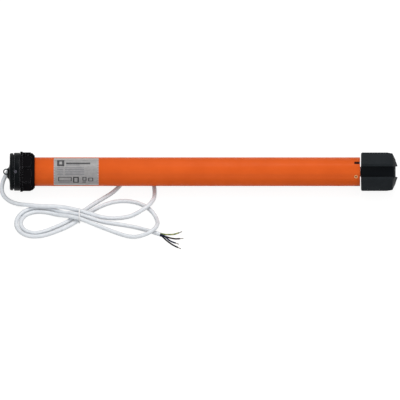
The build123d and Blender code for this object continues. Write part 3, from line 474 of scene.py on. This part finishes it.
# %% Core routes
core_diameter = 2.4
core_routes = {
    "core_earth": [
        (-61.48, -109.19, 4.5),
        (-58.58, -110.53, 4.5),
        (-54.8, -110.8, 3.7),
        (-50.2, -109.3, 2.1),
        (-44.8, -108.4, 1.2),
        (-38.6, -107.4, 1.2),
        (-33.2, -104.4, 1.2),
    ],
    "core_brown": [
        (-61.48, -109.19, 2.0),
        (-58.58, -110.53, 2.0),
        (-54.8, -112.6, 1.5),
        (-50.0, -114.8, 1.2),
        (-44.2, -116.8, 1.2),
        (-37.6, -118.2, 1.2),
        (-31.6, -117.4, 1.2),
    ],
    "core_blue": [
        (-62.51, -111.41, 4.5),
        (-59.61, -112.75, 4.5),
        (-56.2, -114.8, 4.1),
        (-52.2, -117.8, 2.8),
        (-48.2, -121.4, 1.2),
        (-43.4, -124.8, 1.2),
        (-38.4, -127.2, 1.2),
    ],
    "core_black": [
        (-62.51, -111.41, 2.0),
        (-59.61, -112.75, 2.0),
        (-57.0, -115.6, 1.5),
        (-53.8, -120.0, 1.2),
        (-48.6, -125.8, 1.2),
        (-41.8, -132.4, 1.2),
        (-34.8, -136.8, 1.2),
    ],
}
print("cores:", ", ".join(core_routes))

# %% [markdown]
# A cord from its route
#
# One spline with a round section makes a cord that bends smoothly everywhere. The order and the
# clamped ends are set after the points, because Blender works them out anew when points come.
# The points carry the radius, because Blender widens a curve's box by the radius of its points.

# %% A round cord
spline_order = 3


def in_metres(place):
    """A place in millimetres as a place in metres."""
    return tuple(value * MM for value in place)


def add_cord(name, route, diameter, steps=8, sides=6):
    """A round cord along the smooth spline that a route controls."""
    curve = bpy.data.curves.new(name, "CURVE")
    curve.dimensions = "3D"
    curve.resolution_u = steps
    curve.bevel_depth = 1.0
    curve.bevel_resolution = sides
    curve.use_fill_caps = True
    spline = curve.splines.new("NURBS")
    spline.points.add(len(route) - 1)
    for point, place in zip(spline.points, route):
        point.co = (*in_metres(place), 1.0)
        point.radius = diameter / 2 * MM
    spline.order_u = spline_order
    spline.use_endpoint_u = True
    spline.use_smooth = True
    return add_object(name, curve)


print("cords are splines of order", spline_order)

# %% [markdown]
# The sheathed cable
#
# The frame holds the cable as three plain solids: the lead, the bundle and the tail. The spline
# takes the place of all three.

supply_cable = add_cord("supply_cable", cable_route, cable_diameter)
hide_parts("supply_cable_lead", "supply_cable_hank", "supply_cable_tail")
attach(supply_cable, "root")

# %% [markdown]
# The bare cores
#
# Each core is a cord of its own that can be bent alone. The stripped copper tips are one node of
# the frame.

# %% Cores
core_steps = 12
cores = {}
for name, route in core_routes.items():
    core = add_cord(name + "_sleeve", route, core_diameter, core_steps)
    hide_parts(name)
    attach(core, "root")
    cores[name] = core
print("cords:", 1 + len(cores))

# %% [markdown]
# How a finish starts
#
# Nearly every finish on the motor is a base colour that varies a little, a roughness that
# varies with it, and a fine relief. All three come from noise in the object's own coordinates,
# so that a scale of 1000 gives grains about a millimetre wide. Image textures would need files
# and would stretch over the parts. Gloss is the specular level of Blender's shader. It is low on
# the blacks, because they would mirror the white sky and look grey.

# %% A shader and its noise
def start_finish(name, roughness, metallic=0.0, gloss=0.5):
    """A new material with its tree and its shader."""
    material = bpy.data.materials.new(name)
    material.use_nodes = True
    tree = material.node_tree
    shader = tree.nodes["Principled BSDF"]
    shader.inputs["Roughness"].default_value = roughness
    shader.inputs["Metallic"].default_value = metallic
    shader.inputs["Specular IOR Level"].default_value = gloss
    return material, tree, shader


def object_place(tree, stretch=(1, 1, 1)):
    """The place on the object, stretched along its axes."""
    coordinates = tree.nodes.new("ShaderNodeTexCoord")
    mapping = tree.nodes.new("ShaderNodeMapping")
    mapping.inputs["Scale"].default_value = stretch
    tree.links.new(coordinates.outputs["Object"], mapping.inputs["Vector"])
    return mapping.outputs["Vector"]


def add_noise(tree, scale, detail=2.0, stretch=(1, 1, 1)):
    """Noise with grains of one metre over the scale."""
    noise = tree.nodes.new("ShaderNodeTexNoise")
    noise.inputs["Scale"].default_value = scale
    noise.inputs["Detail"].default_value = detail
    tree.links.new(object_place(tree, stretch), noise.inputs["Vector"])
    return noise.outputs["Fac"]


print("helpers ready: start_finish, object_place, add_noise")

# %% [markdown]
# From noise to colour and roughness
#
# Most of a noise lies between 0.3 and 0.7, so that middle part is spread before it drives a
# colour or a roughness. Without it, a colour would hardly leave the mean of its two tones. A
# colour ramp would do the same with more to set. The mix node has its own sockets for each kind
# of value, several with one name, so those of colours are found by their numbers.

# %% Spread and mix
noise_middle = (0.3, 0.7)
mix_first, mix_second, mix_result = 6, 7, 2


def spread_noise(tree, scale, detail, low=0.0, high=1.0):
    """Noise spread from its middle part to a range."""
    return add_range(tree, add_noise(tree, scale, detail), noise_middle, (low, high))


def add_mix(tree, share, first, second):
    """A colour between two colours, either of which may come from another node."""
    mix = tree.nodes.new("ShaderNodeMix")
    mix.data_type = "RGBA"
    tree.links.new(share, mix.inputs["Factor"])
    for value, socket in ((first, mix.inputs[mix_first]), (second, mix.inputs[mix_second])):
        if isinstance(value, tuple):
            socket.default_value = (*value, 1.0)
        else:
            tree.links.new(value, socket)
    return mix.outputs[mix_result]


def drive_finish(tree, shader, colour, roughness):
    """Colour and roughness of a finish from the results of other nodes."""
    tree.links.new(colour, shader.inputs["Base Color"])
    tree.links.new(roughness, shader.inputs["Roughness"])


print("noise is spread from", noise_middle)

# %% [markdown]
# Relief
#
# Relief is a chain of bump nodes, from wide waves to fine grain, as on a real surface. A bump
# only tilts the light on a face. Displacing the mesh itself would cost millions of triangles for
# grains of a few hundredths of a millimetre, so that is kept for forms that can be seen.

# %% Relief
def add_relief(tree, shader, heights):
    """Bumps of several sizes, each given as a height value and a depth in metres."""
    normal = None
    for height, depth in heights:
        bump = tree.nodes.new("ShaderNodeBump")
        bump.inputs["Distance"].default_value = depth
        tree.links.new(height, bump.inputs["Height"])
        if normal is not None:
            tree.links.new(normal, bump.inputs["Normal"])
        normal = bump.outputs["Normal"]
    tree.links.new(normal, shader.inputs["Normal"])


print("helper ready: add_relief")

# %% [markdown]
# The sheath
#
# The sheath is soft white plastic with a satin surface, a little grey where it was handled. Its
# relief is very fine, because extruded plastic is smooth. A glassier plastic would show the lamps
# as sharp lines along every strand.

# %% Finish of the sheath
def extruded_plastic(name, colour, darker, roughness, gloss=0.5):
    """Smooth coloured plastic with slight handling marks."""
    material, tree, shader = start_finish(name, roughness, gloss=gloss)
    marks = add_mix(tree, spread_noise(tree, 160, 4.0), darker, colour)
    scuffs = spread_noise(tree, 420, 3.0, roughness - 0.06, roughness + 0.08)
    drive_finish(tree, shader, marks, scuffs)
    grain, grain_depth = add_noise(tree, scale=2600), 0.02 * MM
    add_relief(tree, shader, [(grain, grain_depth)])
    return material


sheath_white, handled_white = (0.78, 0.81, 0.84), (0.70, 0.73, 0.77)
sheath = extruded_plastic("white_sheath", sheath_white, handled_white, roughness=0.42)
supply_cable.data.materials.append(sheath)
print("sheath material:", sheath.name)

# %% [markdown]
# A second colour in its place
#
# Some pieces have a second colour in a certain place. Where the place follows a simple rule, a
# few sums on the coordinates find it, and the second colour goes over the first there. Painting
# single faces of the mesh would do it too, but the pieces of the frame keep their meshes.

# %% Place and second colour
def split_place(tree, stretch=(1, 1, 1)):
    """The three coordinates of the place on the object."""
    split = tree.nodes.new("ShaderNodeSeparateXYZ")
    tree.links.new(object_place(tree, stretch), split.inputs[0])
    return split.outputs["X"], split.outputs["Y"], split.outputs["Z"]


def colour_over(material, share, colour):
    """A second colour over the base colour, full where the share is one."""
    tree = material.node_tree
    base = tree.nodes["Principled BSDF"].inputs["Base Color"]
    plain = base.links[0].from_socket
    tree.links.new(add_mix(tree, share, plain, colour), base)


print("helpers ready: split_place, colour_over")

# %% [markdown]
# The colours of the cores
#
# The four cores have the usual colours, and the earth core has two: its yellow stripe turns round
# the green with the twist of the wires, so from outside it shows as slanted bands. The bands come
# from a sum of two coordinates whose whole part is dropped. A second thin spline for the stripe
# would have to follow every bend of the core.

# %% Finish of the cores
def add_stripe(material, colour, period=11 * MM, slant=1.6, share=0.42):
    """Slanted bands of a second colour, as a stripe that turns round a twisted core."""
    tree = material.node_tree
    x, y, _ = split_place(tree, (1 / period, slant / period, 1))
    part = math_step(tree, "FRACT", math_step(tree, "ADD", x, y))
    colour_over(material, math_step(tree, "LESS_THAN", part, share), colour)


core_colours = {
    "core_earth": ((0.20, 0.25, 0.09), (0.17, 0.22, 0.08)),
    "core_brown": ((0.026, 0.012, 0.008), (0.020, 0.010, 0.007)),
    "core_blue": ((0.009, 0.014, 0.045), (0.007, 0.011, 0.036)),
    "core_black": ((0.006, 0.006, 0.007), (0.004, 0.004, 0.005)),
}
earth_stripe = (0.40, 0.39, 0.16)
core_roughness, core_gloss = 0.4, 0.1
for name, (colour, darker) in core_colours.items():
    plastic = extruded_plastic(name + "_plastic", colour, darker, core_roughness, core_gloss)
    if name == "core_earth":
        add_stripe(plastic, earth_stripe)
    cores[name].data.materials.append(plastic)
print("core colours:", ", ".join(core_colours))

# %% [markdown]
# Painted steel
#
# The tube is orange steel with a thin satin paint. Paint on a tube is never quite flat: it has
# a slight orange peel and wears dull where it is held. A wide noise does the tone, a middle one
# the peel, and a fine one the dust in the paint. A clear coat on top would make it too glossy.

# %% Painted steel
def painted_steel(name, colour, brighter):
    """Satin paint on steel, with orange peel."""
    material, tree, shader = start_finish(name, roughness=0.42, gloss=0.08)
    tone = add_mix(tree, spread_noise(tree, 26, 3.0), colour, brighter)
    held = spread_noise(tree, 90, 4.0, low=0.36, high=0.5)
    drive_finish(tree, shader, tone, held)
    peel, peel_depth = add_noise(tree, scale=750), 0.03 * MM
    dust, dust_depth = add_noise(tree, scale=5200), 0.008 * MM
    add_relief(tree, shader, [(peel, peel_depth), (dust, dust_depth)])
    return material


orange, bright_orange = (0.70, 0.102, 0.012), (0.76, 0.116, 0.015)
finishes = {"orange_paint": painted_steel("orange_paint", orange, bright_orange)}
print("paint:", finishes["orange_paint"].name)

# %% [markdown]
# Moulded plastic
#
# The head, the crown and the drive wheel are moulded in black plastic with a fine eroded grain,
# which comes from the mould. The wheel is a little greyer than the head, because it is filled
# with glass fibre. Pale bloom lies over it in patches. The relief has two sizes of grain, deep
# enough to soften the highlights.

# %% Moulded plastic
bloom_gain = 1.35


def moulded_plastic(name, colour, roughness, grain, gloss):
    """Grained plastic with pale bloom, from a mould."""
    material, tree, shader = start_finish(name, roughness, gloss=gloss)
    paler = tuple(value * bloom_gain for value in colour)
    bloom = add_mix(tree, spread_noise(tree, 60, 5.0), colour, paler)
    scuffs = spread_noise(tree, 140, 4.0, roughness - 0.07, roughness + 0.07)
    drive_finish(tree, shader, bloom, scuffs)
    coarse, fine = add_noise(tree, scale=1500, detail=3.0), add_noise(tree, scale=5200)
    add_relief(tree, shader, [(coarse, grain), (fine, grain / 2)])
    return material


print("bloom is paler by", bloom_gain)

# %% [markdown]
# The plastics of the motor
#
# All plastics are that one function with other numbers. Inside the tube the planets and cams are
# white acetal, and the brake disc is a brown friction material. In each row stand the colour, the
# roughness, the depth of the grain in millimetres and the gloss.

# %% The plastics
plastics = {
    "head_black": ((0.0026, 0.0036, 0.0044), 0.38, 0.03, 0.04),
    "crown_black": ((0.0056, 0.0052, 0.0060), 0.45, 0.03, 0.0),
    # Pale edges: partly wear, partly a painted highlight for the sheen along them.
    "edge_wear_and_sheen": ((0.24, 0.24, 0.26), 0.45, 0.02, 0.1),
    "wheel_black": ((0.0112, 0.0136, 0.0158), 0.5, 0.04, 0.05),
    "inner_black": ((0.008, 0.008, 0.009), 0.5, 0.02, 0.1),
    "inner_brown": ((0.034, 0.006, 0.003), 0.6, 0.02, 0.04),
    "rubber_black": ((0.008, 0.008, 0.009), 0.7, 0.02, 0.1),
    "can_white": ((0.62, 0.62, 0.60), 0.4, 0.01, 0.5),
    "planet_white": ((0.66, 0.63, 0.54), 0.45, 0.01, 0.5),
    "nylon_white": ((0.64, 0.65, 0.66), 0.4, 0.01, 0.5),
    "friction_brown": ((0.05, 0.035, 0.022), 0.85, 0.06, 0.5),
}
for name, (colour, roughness, grain, gloss) in plastics.items():
    finishes[name] = moulded_plastic(name, colour, roughness, grain * MM, gloss)
print("plastics:", len(plastics))

# %% [markdown]
# Bare metal
#
# Turned and drawn steel shows fine lines round or along the piece, and sintered bronze is
# mottled. A metal is a colour, a roughness that follows stretched noise, and a faint relief from
# the same noise. The stretch decides which way the lines run. Blender's anisotropic light could
# draw them too, but it needs tangents that these meshes don't have.

# %% Bare metal
stained = 0.78


def bare_metal(name, colour, roughness, stretch, scale, depth):
    """Metal whose tool marks follow the stretch of the noise."""
    material, tree, shader = start_finish(name, roughness, metallic=1.0)
    darker = tuple(value * stained for value in colour)
    spots = add_mix(tree, spread_noise(tree, 240, 4.0), darker, colour)
    lines = add_noise(tree, scale, detail=3.0, stretch=stretch)
    dull = add_range(tree, lines, noise_middle, (roughness - 0.1, roughness + 0.12))
    drive_finish(tree, shader, spots, dull)
    add_relief(tree, shader, [(lines, depth)])
    return material


print("stains keep a share of", stained)

# %% [markdown]
# The metals of the motor
#
# In each row stand the colour, the roughness, the stretch of the lines, their scale and their
# depth in millimetres. Zinc has a yellow tint, and the sheets of the stator lie stacked across
# its axis. The label is a plastic film with a thin coat of metal, so it is a metal in the table
# and only a little metallic in the end.

# %% The metals
along, across, even, stacked = (0.05, 1, 1), (1, 0.05, 0.05), (1, 1, 1), (6, 0.05, 0.05)
metals = {
    "screw_zinc": ((0.46, 0.22, 0.10), 0.34, across, 900, 0.01),
    "dark_screw": ((0.11, 0.108, 0.13), 0.4, even, 900, 0.01),
    "zinc_yellow": ((0.62, 0.50, 0.30), 0.32, across, 900, 0.01),
    "dark_wire": ((0.026, 0.033, 0.035), 0.3, along, 900, 0.01),
    "turned_steel": ((0.42, 0.42, 0.43), 0.36, across, 900, 0.01),
    "sintered_steel": ((0.30, 0.30, 0.31), 0.5, even, 900, 0.01),
    "laminated_iron": ((0.20, 0.20, 0.22), 0.5, stacked, 900, 0.01),
    "enamelled_copper": ((0.60, 0.22, 0.07), 0.32, along, 900, 0.01),
    "sintered_bronze": ((0.50, 0.31, 0.12), 0.42, even, 900, 0.01),
    "tinned_copper": ((0.17, 0.15, 0.12), 0.36, along, 4000, 0.01),
    "silver_film": ((0.335, 0.325, 0.325), 0.5, along, 1500, 0.003),
}
for name, (colour, roughness, stretch, scale, depth) in metals.items():
    finishes[name] = bare_metal(name, colour, roughness, stretch, scale, depth * MM)

film_metallic = 0.1
film_shader = finishes["silver_film"].node_tree.nodes["Principled BSDF"]
film_shader.inputs["Metallic"].default_value = film_metallic
print("metals:", len(metals))

# %% [markdown]
# Painted shade in the sockets of the tube's screws
#
# Three countersunk screws hold the gearbox in the tube, and each has a socket. Its shade is
# painted in dark brown. The screws are one mesh about the tube, so the material finds its place
# on each of them: the angle about the axis is folded into one third of a turn, and what lies near
# the middle of the fold is socket. The sockets are too shallow to look dark by themselves.

# %% Sockets of the tube's screws
screw_inset, first_screw_angle, screw_count = 6.4 * MM, math.radians(155.7), 3
tube_radius, socket_radius = 22.5 * MM, 1.25 * MM
# A dark brown that paints the shade in the sockets.
socket_shade_brown = (0.06, 0.014, 0.006)


def length_of(tree, first, second):
    """The length of the long side of a right triangle."""
    squares = [math_step(tree, "MULTIPLY", value, value) for value in (first, second)]
    return math_step(tree, "SQRT", math_step(tree, "ADD", *squares))


def shade_sockets(material, station, dark):
    """Painted shade in the sockets of screws that stand evenly about the tube."""
    tree = material.node_tree
    x, y, z = split_place(tree)
    along_tube = math_step(tree, "SUBTRACT", x, station)
    angle = math_step(tree, "ARCTAN2", math_step(tree, "SUBTRACT", z, axis_height), y)
    sector = 2 * math.pi / screw_count
    fold_start = first_screw_angle - sector / 2 - 2 * math.pi
    turned = math_step(tree, "SUBTRACT", angle, fold_start)
    folded = math_step(tree, "SUBTRACT", math_step(tree, "MODULO", turned, sector), sector / 2)
    round_tube = math_step(tree, "MULTIPLY", folded, tube_radius)
    distance = length_of(tree, along_tube, round_tube)
    colour_over(material, math_step(tree, "LESS_THAN", distance, socket_radius), dark)


tube_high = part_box("motor_tube")[1]
screw_station = tube_high.x - screw_inset
# The sockets of the screws get painted shade.
shade_sockets(finishes["screw_zinc"], screw_station, socket_shade_brown)
print("screws stand at", round(screw_station / MM, 1), "mm")

# %% [markdown]
# Painted shade in the wheel's channels
#
# The floors of the drive wheel's channels are painted deep black as shade, and so is everything
# nearer the axis. The material measures the distance from the axis and goes from the painted
# shade to the plain colour between floor and flat. Blender can also find hollows by itself, but
# it then has to look about from every point, which takes long.

# %% Channels of the drive wheel
channel_floor, channel_edge = 26.2 * MM, 29.0 * MM
# A deep black that paints the shade in the channels.
channel_shade_black = (0.0022, 0.0032, 0.0045)


def shade_recesses(material, floor_radius, face_radius, dark):
    """Painted shade up to the floor's radius, fading out towards the face."""
    tree = material.node_tree
    _, y, z = split_place(tree)
    radius = length_of(tree, y, math_step(tree, "SUBTRACT", z, axis_height))
    fade = add_range(tree, radius, (floor_radius, face_radius), (1.0, 0.0))
    colour_over(material, fade, dark)


# The channels of the wheel get painted shade.
shade_recesses(finishes["wheel_black"], channel_floor, channel_edge, channel_shade_black)
print("channels are dark up to", round(channel_floor / MM, 1), "mm from the axis")

# %% [markdown]
# Which piece has which finish
#
# The outside of the motor is paint and black plastic, and the inside is what such a drive is
# made of: laminated iron and copper in the motor, sintered steel and white acetal in the gears,
# bronze in the bushes. The gearbox cap is brown, and it shows in the slots at the tube's end. The
# table goes from finish to pieces, because most finishes serve several pieces. The last lines
# turn it round, so that a piece can find its finish.

# %% A finish for each piece
pieces_with = {
    "orange_paint": ["motor_tube"],
    "silver_film": ["rating_label"],
    "screw_zinc": ["tube_screws"],
    "head_black": ["head_cap", "head_body"],
    "crown_black": ["crown"],
    "wheel_black": ["drive_wheel"],
    "rubber_black": ["cable_gland"],
    "nylon_white": ["cable_tie"],
    "dark_screw": ["limit_screw_up", "limit_screw_down"],
    "dark_wire": ["retaining_clip", "brake_spring"],
    "zinc_yellow": ["head_screws", "wheel_washer", "wheel_screw"],
    "tinned_copper": ["core_tips"],
    "inner_black": ["limit_chassis", "limit_switches", "capacitor_clamp"],
    "inner_brown": ["gearbox_cap"],
    "can_white": ["capacitor"],
    "planet_white": ["limit_cams"],
    "friction_brown": ["brake_disc"],
    "sintered_bronze": ["rear_shaft_bush", "front_shaft_bush", "output_bush"],
    "laminated_iron": ["stator_stack", "rotor_core"],
    "enamelled_copper": ["stator_winding"],
    "turned_steel": [
        "rear_end_shield",
        "front_end_shield",
        "rotor_shaft",
        "brake_armature",
        "brake_plate",
        "gearbox_input_plate",
        "output_carrier",
    ],
    "sintered_steel": [
        "limit_pinion",
        "brake_magnet",
        "ring_gear",
        "sun_gear",
        "first_carrier",
        "second_carrier",
    ],
}
for stage in ("first", "second", "third"):
    pieces_with["planet_white"] += [f"{stage}_planet_{index}" for index in (1, 2, 3)]
finish_of = {piece: finish for finish, pieces in pieces_with.items() for piece in pieces}
print("pieces with a finish:", len(finish_of))

# %% [markdown]
# Edges of the hard pieces
#
# A moulded or machined edge is never razor sharp: it carries a small round that catches the
# light. The pieces come in as triangles with sharp edges, so three modifiers prepare them: the
# split corners are welded, flat triangles are merged, and the edges get a small bevel. The
# mesh itself stays as it is, because the pieces belong to the frame.

# %% Round edges
weld_reach = 0.002 * MM
flat_within, sharp_from = math.radians(0.6), math.radians(32)


def round_edges(piece, width):
    """Weld, merge flat faces and bevel, without touching the mesh."""
    weld = piece.modifiers.new("weld", "WELD")
    weld.merge_threshold = weld_reach
    merge = piece.modifiers.new("merge", "DECIMATE")
    merge.decimate_type = "DISSOLVE"
    merge.angle_limit = flat_within
    bevel = piece.modifiers.new("bevel", "BEVEL")
    bevel.width = width
    bevel.segments = 2
    bevel.limit_method = "ANGLE"
    bevel.angle_limit = sharp_from
    bevel.harden_normals = True


print("edges count as sharp from", round(math.degrees(sharp_from)), "degrees")

# %% [markdown]
# Dressing the pieces
#
# Now every piece of the frame gets its finish, and the larger hard ones get round edges, given
# in millimetres. On the head and the crown the bevel has a paler finish of its own: partly the
# pale wear of black plastic edges, partly a painted highlight for the sheen along them. It sits
# in the second slot of the piece, which has the number one.

# %% Dress the pieces
edge_rounds = {
    "drive_wheel": 0.45,
    "crown": 0.7,
    "head_body": 0.3,
    "head_cap": 0.3,
    "motor_tube": 0.3,
    "cable_tie": 0.15,
    "output_carrier": 0.2,
}
# The bevels of these pieces are painted pale: partly wear, partly highlight.
pale_edge_pieces = ("crown", "head_body", "head_cap")
pale_edge_slot = 1

dressed = [name for name, piece in nodes.items() if not piece.hide_render]
for name in dressed:
    piece = nodes[name]
    piece.data.materials.clear()
    piece.data.materials.append(finishes[finish_of[name]])
    for face in piece.data.polygons:
        face.use_smooth = True
    if name in edge_rounds:
        round_edges(piece, edge_rounds[name] * MM)
    if name in pale_edge_pieces:
        piece.data.materials.append(finishes["edge_wear_and_sheen"])
        piece.modifiers["bevel"].material = pale_edge_slot
print("dressed pieces:", len(dressed))

# %% [markdown]
# Turned forms
#
# A turned form is an outline that goes once round an axis. The first helper gives a place at an
# angle about the tube, and the second sets copies of the outline round it and joins each to the
# next. A screw modifier would do it too, but it needs an object of its own to mark the axis.

# %% A ring spun about the tube
def on_tube(x, radius, angle):
    """The place at an angle about the tube's axis."""
    return x, radius * math.cos(angle), axis_height + radius * math.sin(angle)


def spun_ring(name, outline, sides):
    """A closed ring with the outline's section, about the tube's axis."""
    shape = bmesh.new()
    rings = []
    for i in range(sides):
        angle = 2 * math.pi * i / sides
        places = [on_tube(x * MM, radius * MM, angle) for x, radius in outline]
        rings.append([shape.verts.new(place) for place in places])
    for ring, after in zip(rings, rings[1:] + rings[:1]):
        for j in range(len(outline)):
            k = (j + 1) % len(outline)
            face = shape.faces.new((ring[j], ring[k], after[k], after[j]))
            face.smooth = True
    bmesh.ops.recalc_face_normals(shape, faces=shape.faces)
    mesh = bpy.data.meshes.new(name)
    shape.to_mesh(mesh)
    shape.free()
    return add_object(name, mesh)


print("helpers ready: on_tube, spun_ring")

# %% [markdown]
# The crown's collar
#
# Where the crown ends on the tube, a short round collar keeps it centred. It makes the end of
# the crown look blunt. The pairs below are places along the tube and radii in millimetres, and
# the last one joins the first. The collar is of the crown's plastic and turns with the crown.

# %% Collar
collar_outline = [
    (-264.6, 23.0),
    (-264.6, 28.8),
    (-263.0, 29.2),
    (-262.2, 28.9),
    (-259.0, 25.7),
    (-258.6, 25.2),
    (-258.45, 24.6),
    (-258.45, 23.3),
    (-258.75, 23.0),
]
collar_sides = 96

crown_collar = spun_ring("crown_collar", collar_outline, collar_sides)
crown_collar.data.materials.append(finishes["crown_black"])
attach(crown_collar, "crown")
print("collar points:", len(crown_collar.data.vertices))

# %% [markdown]
# What the label carries
#
# A silver label is wrapped on the tube near the head. Here it carries only a thin frame, plain
# rules and empty fields. Each is a rectangle, or the four strips of an empty box, given in shares
# of the label's length and of its width round the tube. Shares keep their places when the label
# gets another size.

# %% Fields of the label
def open_box(left, low, right, high, line_x, line_y):
    """The four strips of an empty box."""
    return [
        (left, low, right, low + line_y),
        (left, high - line_y, right, high),
        (left, low, left + line_x, high),
        (right - line_x, low, right, high),
    ]


BORDER, INK, GREY = range(3)
first_row_share, row_step_share, row_height_share, row_count = 0.38, 0.05, 0.014, 5
row_shares = [first_row_share + row_step_share * i for i in range(row_count)]
label_print_shares = {
    BORDER: open_box(0.0, 0.03, 1.0, 0.97, 0.03, 0.045),
    INK: [
        *open_box(0.075, 0.12, 0.235, 0.335, 0.05, 0.055),
        (0.275, 0.215, 0.815, 0.275),
        *open_box(0.10, 0.655, 0.40, 0.80, 0.02, 0.02),
        *open_box(0.43, 0.65, 0.56, 0.86, 0.03, 0.035),
        *open_box(0.64, 0.655, 0.73, 0.78, 0.02, 0.02),
        (0.64, 0.815, 0.72, 0.85),
        *open_box(0.77, 0.68, 0.88, 0.80, 0.02, 0.02),
    ],
    GREY: [
        (0.275, 0.295, 0.58, 0.31),
        *[(0.075, low, 0.215, low + row_height_share) for low in row_shares],
        *[(0.25, low, 0.68, low + row_height_share) for low in row_shares],
        (0.10, 0.84, 0.40, 0.855),
    ],
}
print("label patches:", sum(len(patches) for patches in label_print_shares.values()))

# %% [markdown]
# Print that bends with the tube
#
# On the real motor the label is printed. Here each field is a thin film that bends with the
# tube, in a few pieces round it. A texture could do the same, but real film has an edge that
# catches the light, and it stays sharp from any distance.

# %% A patch on the tube
label_low, label_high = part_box("rating_label")
label_start, label_length = label_low.x, label_high.x - label_low.x
film_thickness, print_height = 0.18 * MM, 0.02 * MM
print_radius = tube_radius + film_thickness + print_height
label_half_width = 27.0 * MM
label_middle = math.radians(135)


def wrapped_patch(mesh, corners, radius, ink, pieces=12):
    """A thin patch on the tube, from two corners given as shares of the label."""
    left, low, right, high = corners
    ends = (label_start + label_length * left, label_start + label_length * right)
    rows = []
    for i in range(pieces + 1):
        share = low + (high - low) * i / pieces
        angle = label_middle + (share - 0.5) * 2 * label_half_width / radius
        rows.append([mesh.verts.new(on_tube(x, radius, angle)) for x in ends])
    for first, second in zip(rows, rows[1:]):
        face = mesh.faces.new((first[0], second[0], second[1], first[1]))
        face.material_index = ink


print("label length:", round(label_length / MM, 1), "mm")

# %% [markdown]
# The print as one piece
#
# All patches go into one mesh, because they are printed on one label and never part. Each keeps
# the number of its ink. A solidify modifier gives them their thickness towards the tube.

# %% Label print
print_mesh = bmesh.new()
for ink, patches in label_print_shares.items():
    for corners in patches:
        wrapped_patch(print_mesh, corners, print_radius, ink)
print_data = bpy.data.meshes.new("label_print")
print_mesh.to_mesh(print_data)
print_mesh.free()
label_print = add_object("label_print", print_data)
thickness = label_print.modifiers.new("thickness", "SOLIDIFY")
thickness.thickness = print_height
thickness.offset = -1
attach(label_print, "root")
print("label print faces:", len(print_data.polygons))

# %% [markdown]
# The inks
#
# The frame of the label is a pale satin band, the fields are black, and small print is read as
# grey rules. Ink on film is smooth, so it takes the same finish as the plastic of the cable. The
# patches count their inks from zero, in the order of this table.

# %% Inks
ink_roughness = 0.5
label_inks = {
    "label_border": ((0.56, 0.53, 0.52), (0.52, 0.49, 0.48)),
    "label_black": ((0.012, 0.012, 0.015), (0.009, 0.009, 0.011)),
    "label_grey": ((0.13, 0.135, 0.16), (0.11, 0.115, 0.135)),
}
for name, (colour, darker) in label_inks.items():
    print_data.materials.append(extruded_plastic(name, colour, darker, ink_roughness))
print("inks:", ", ".join(label_inks))
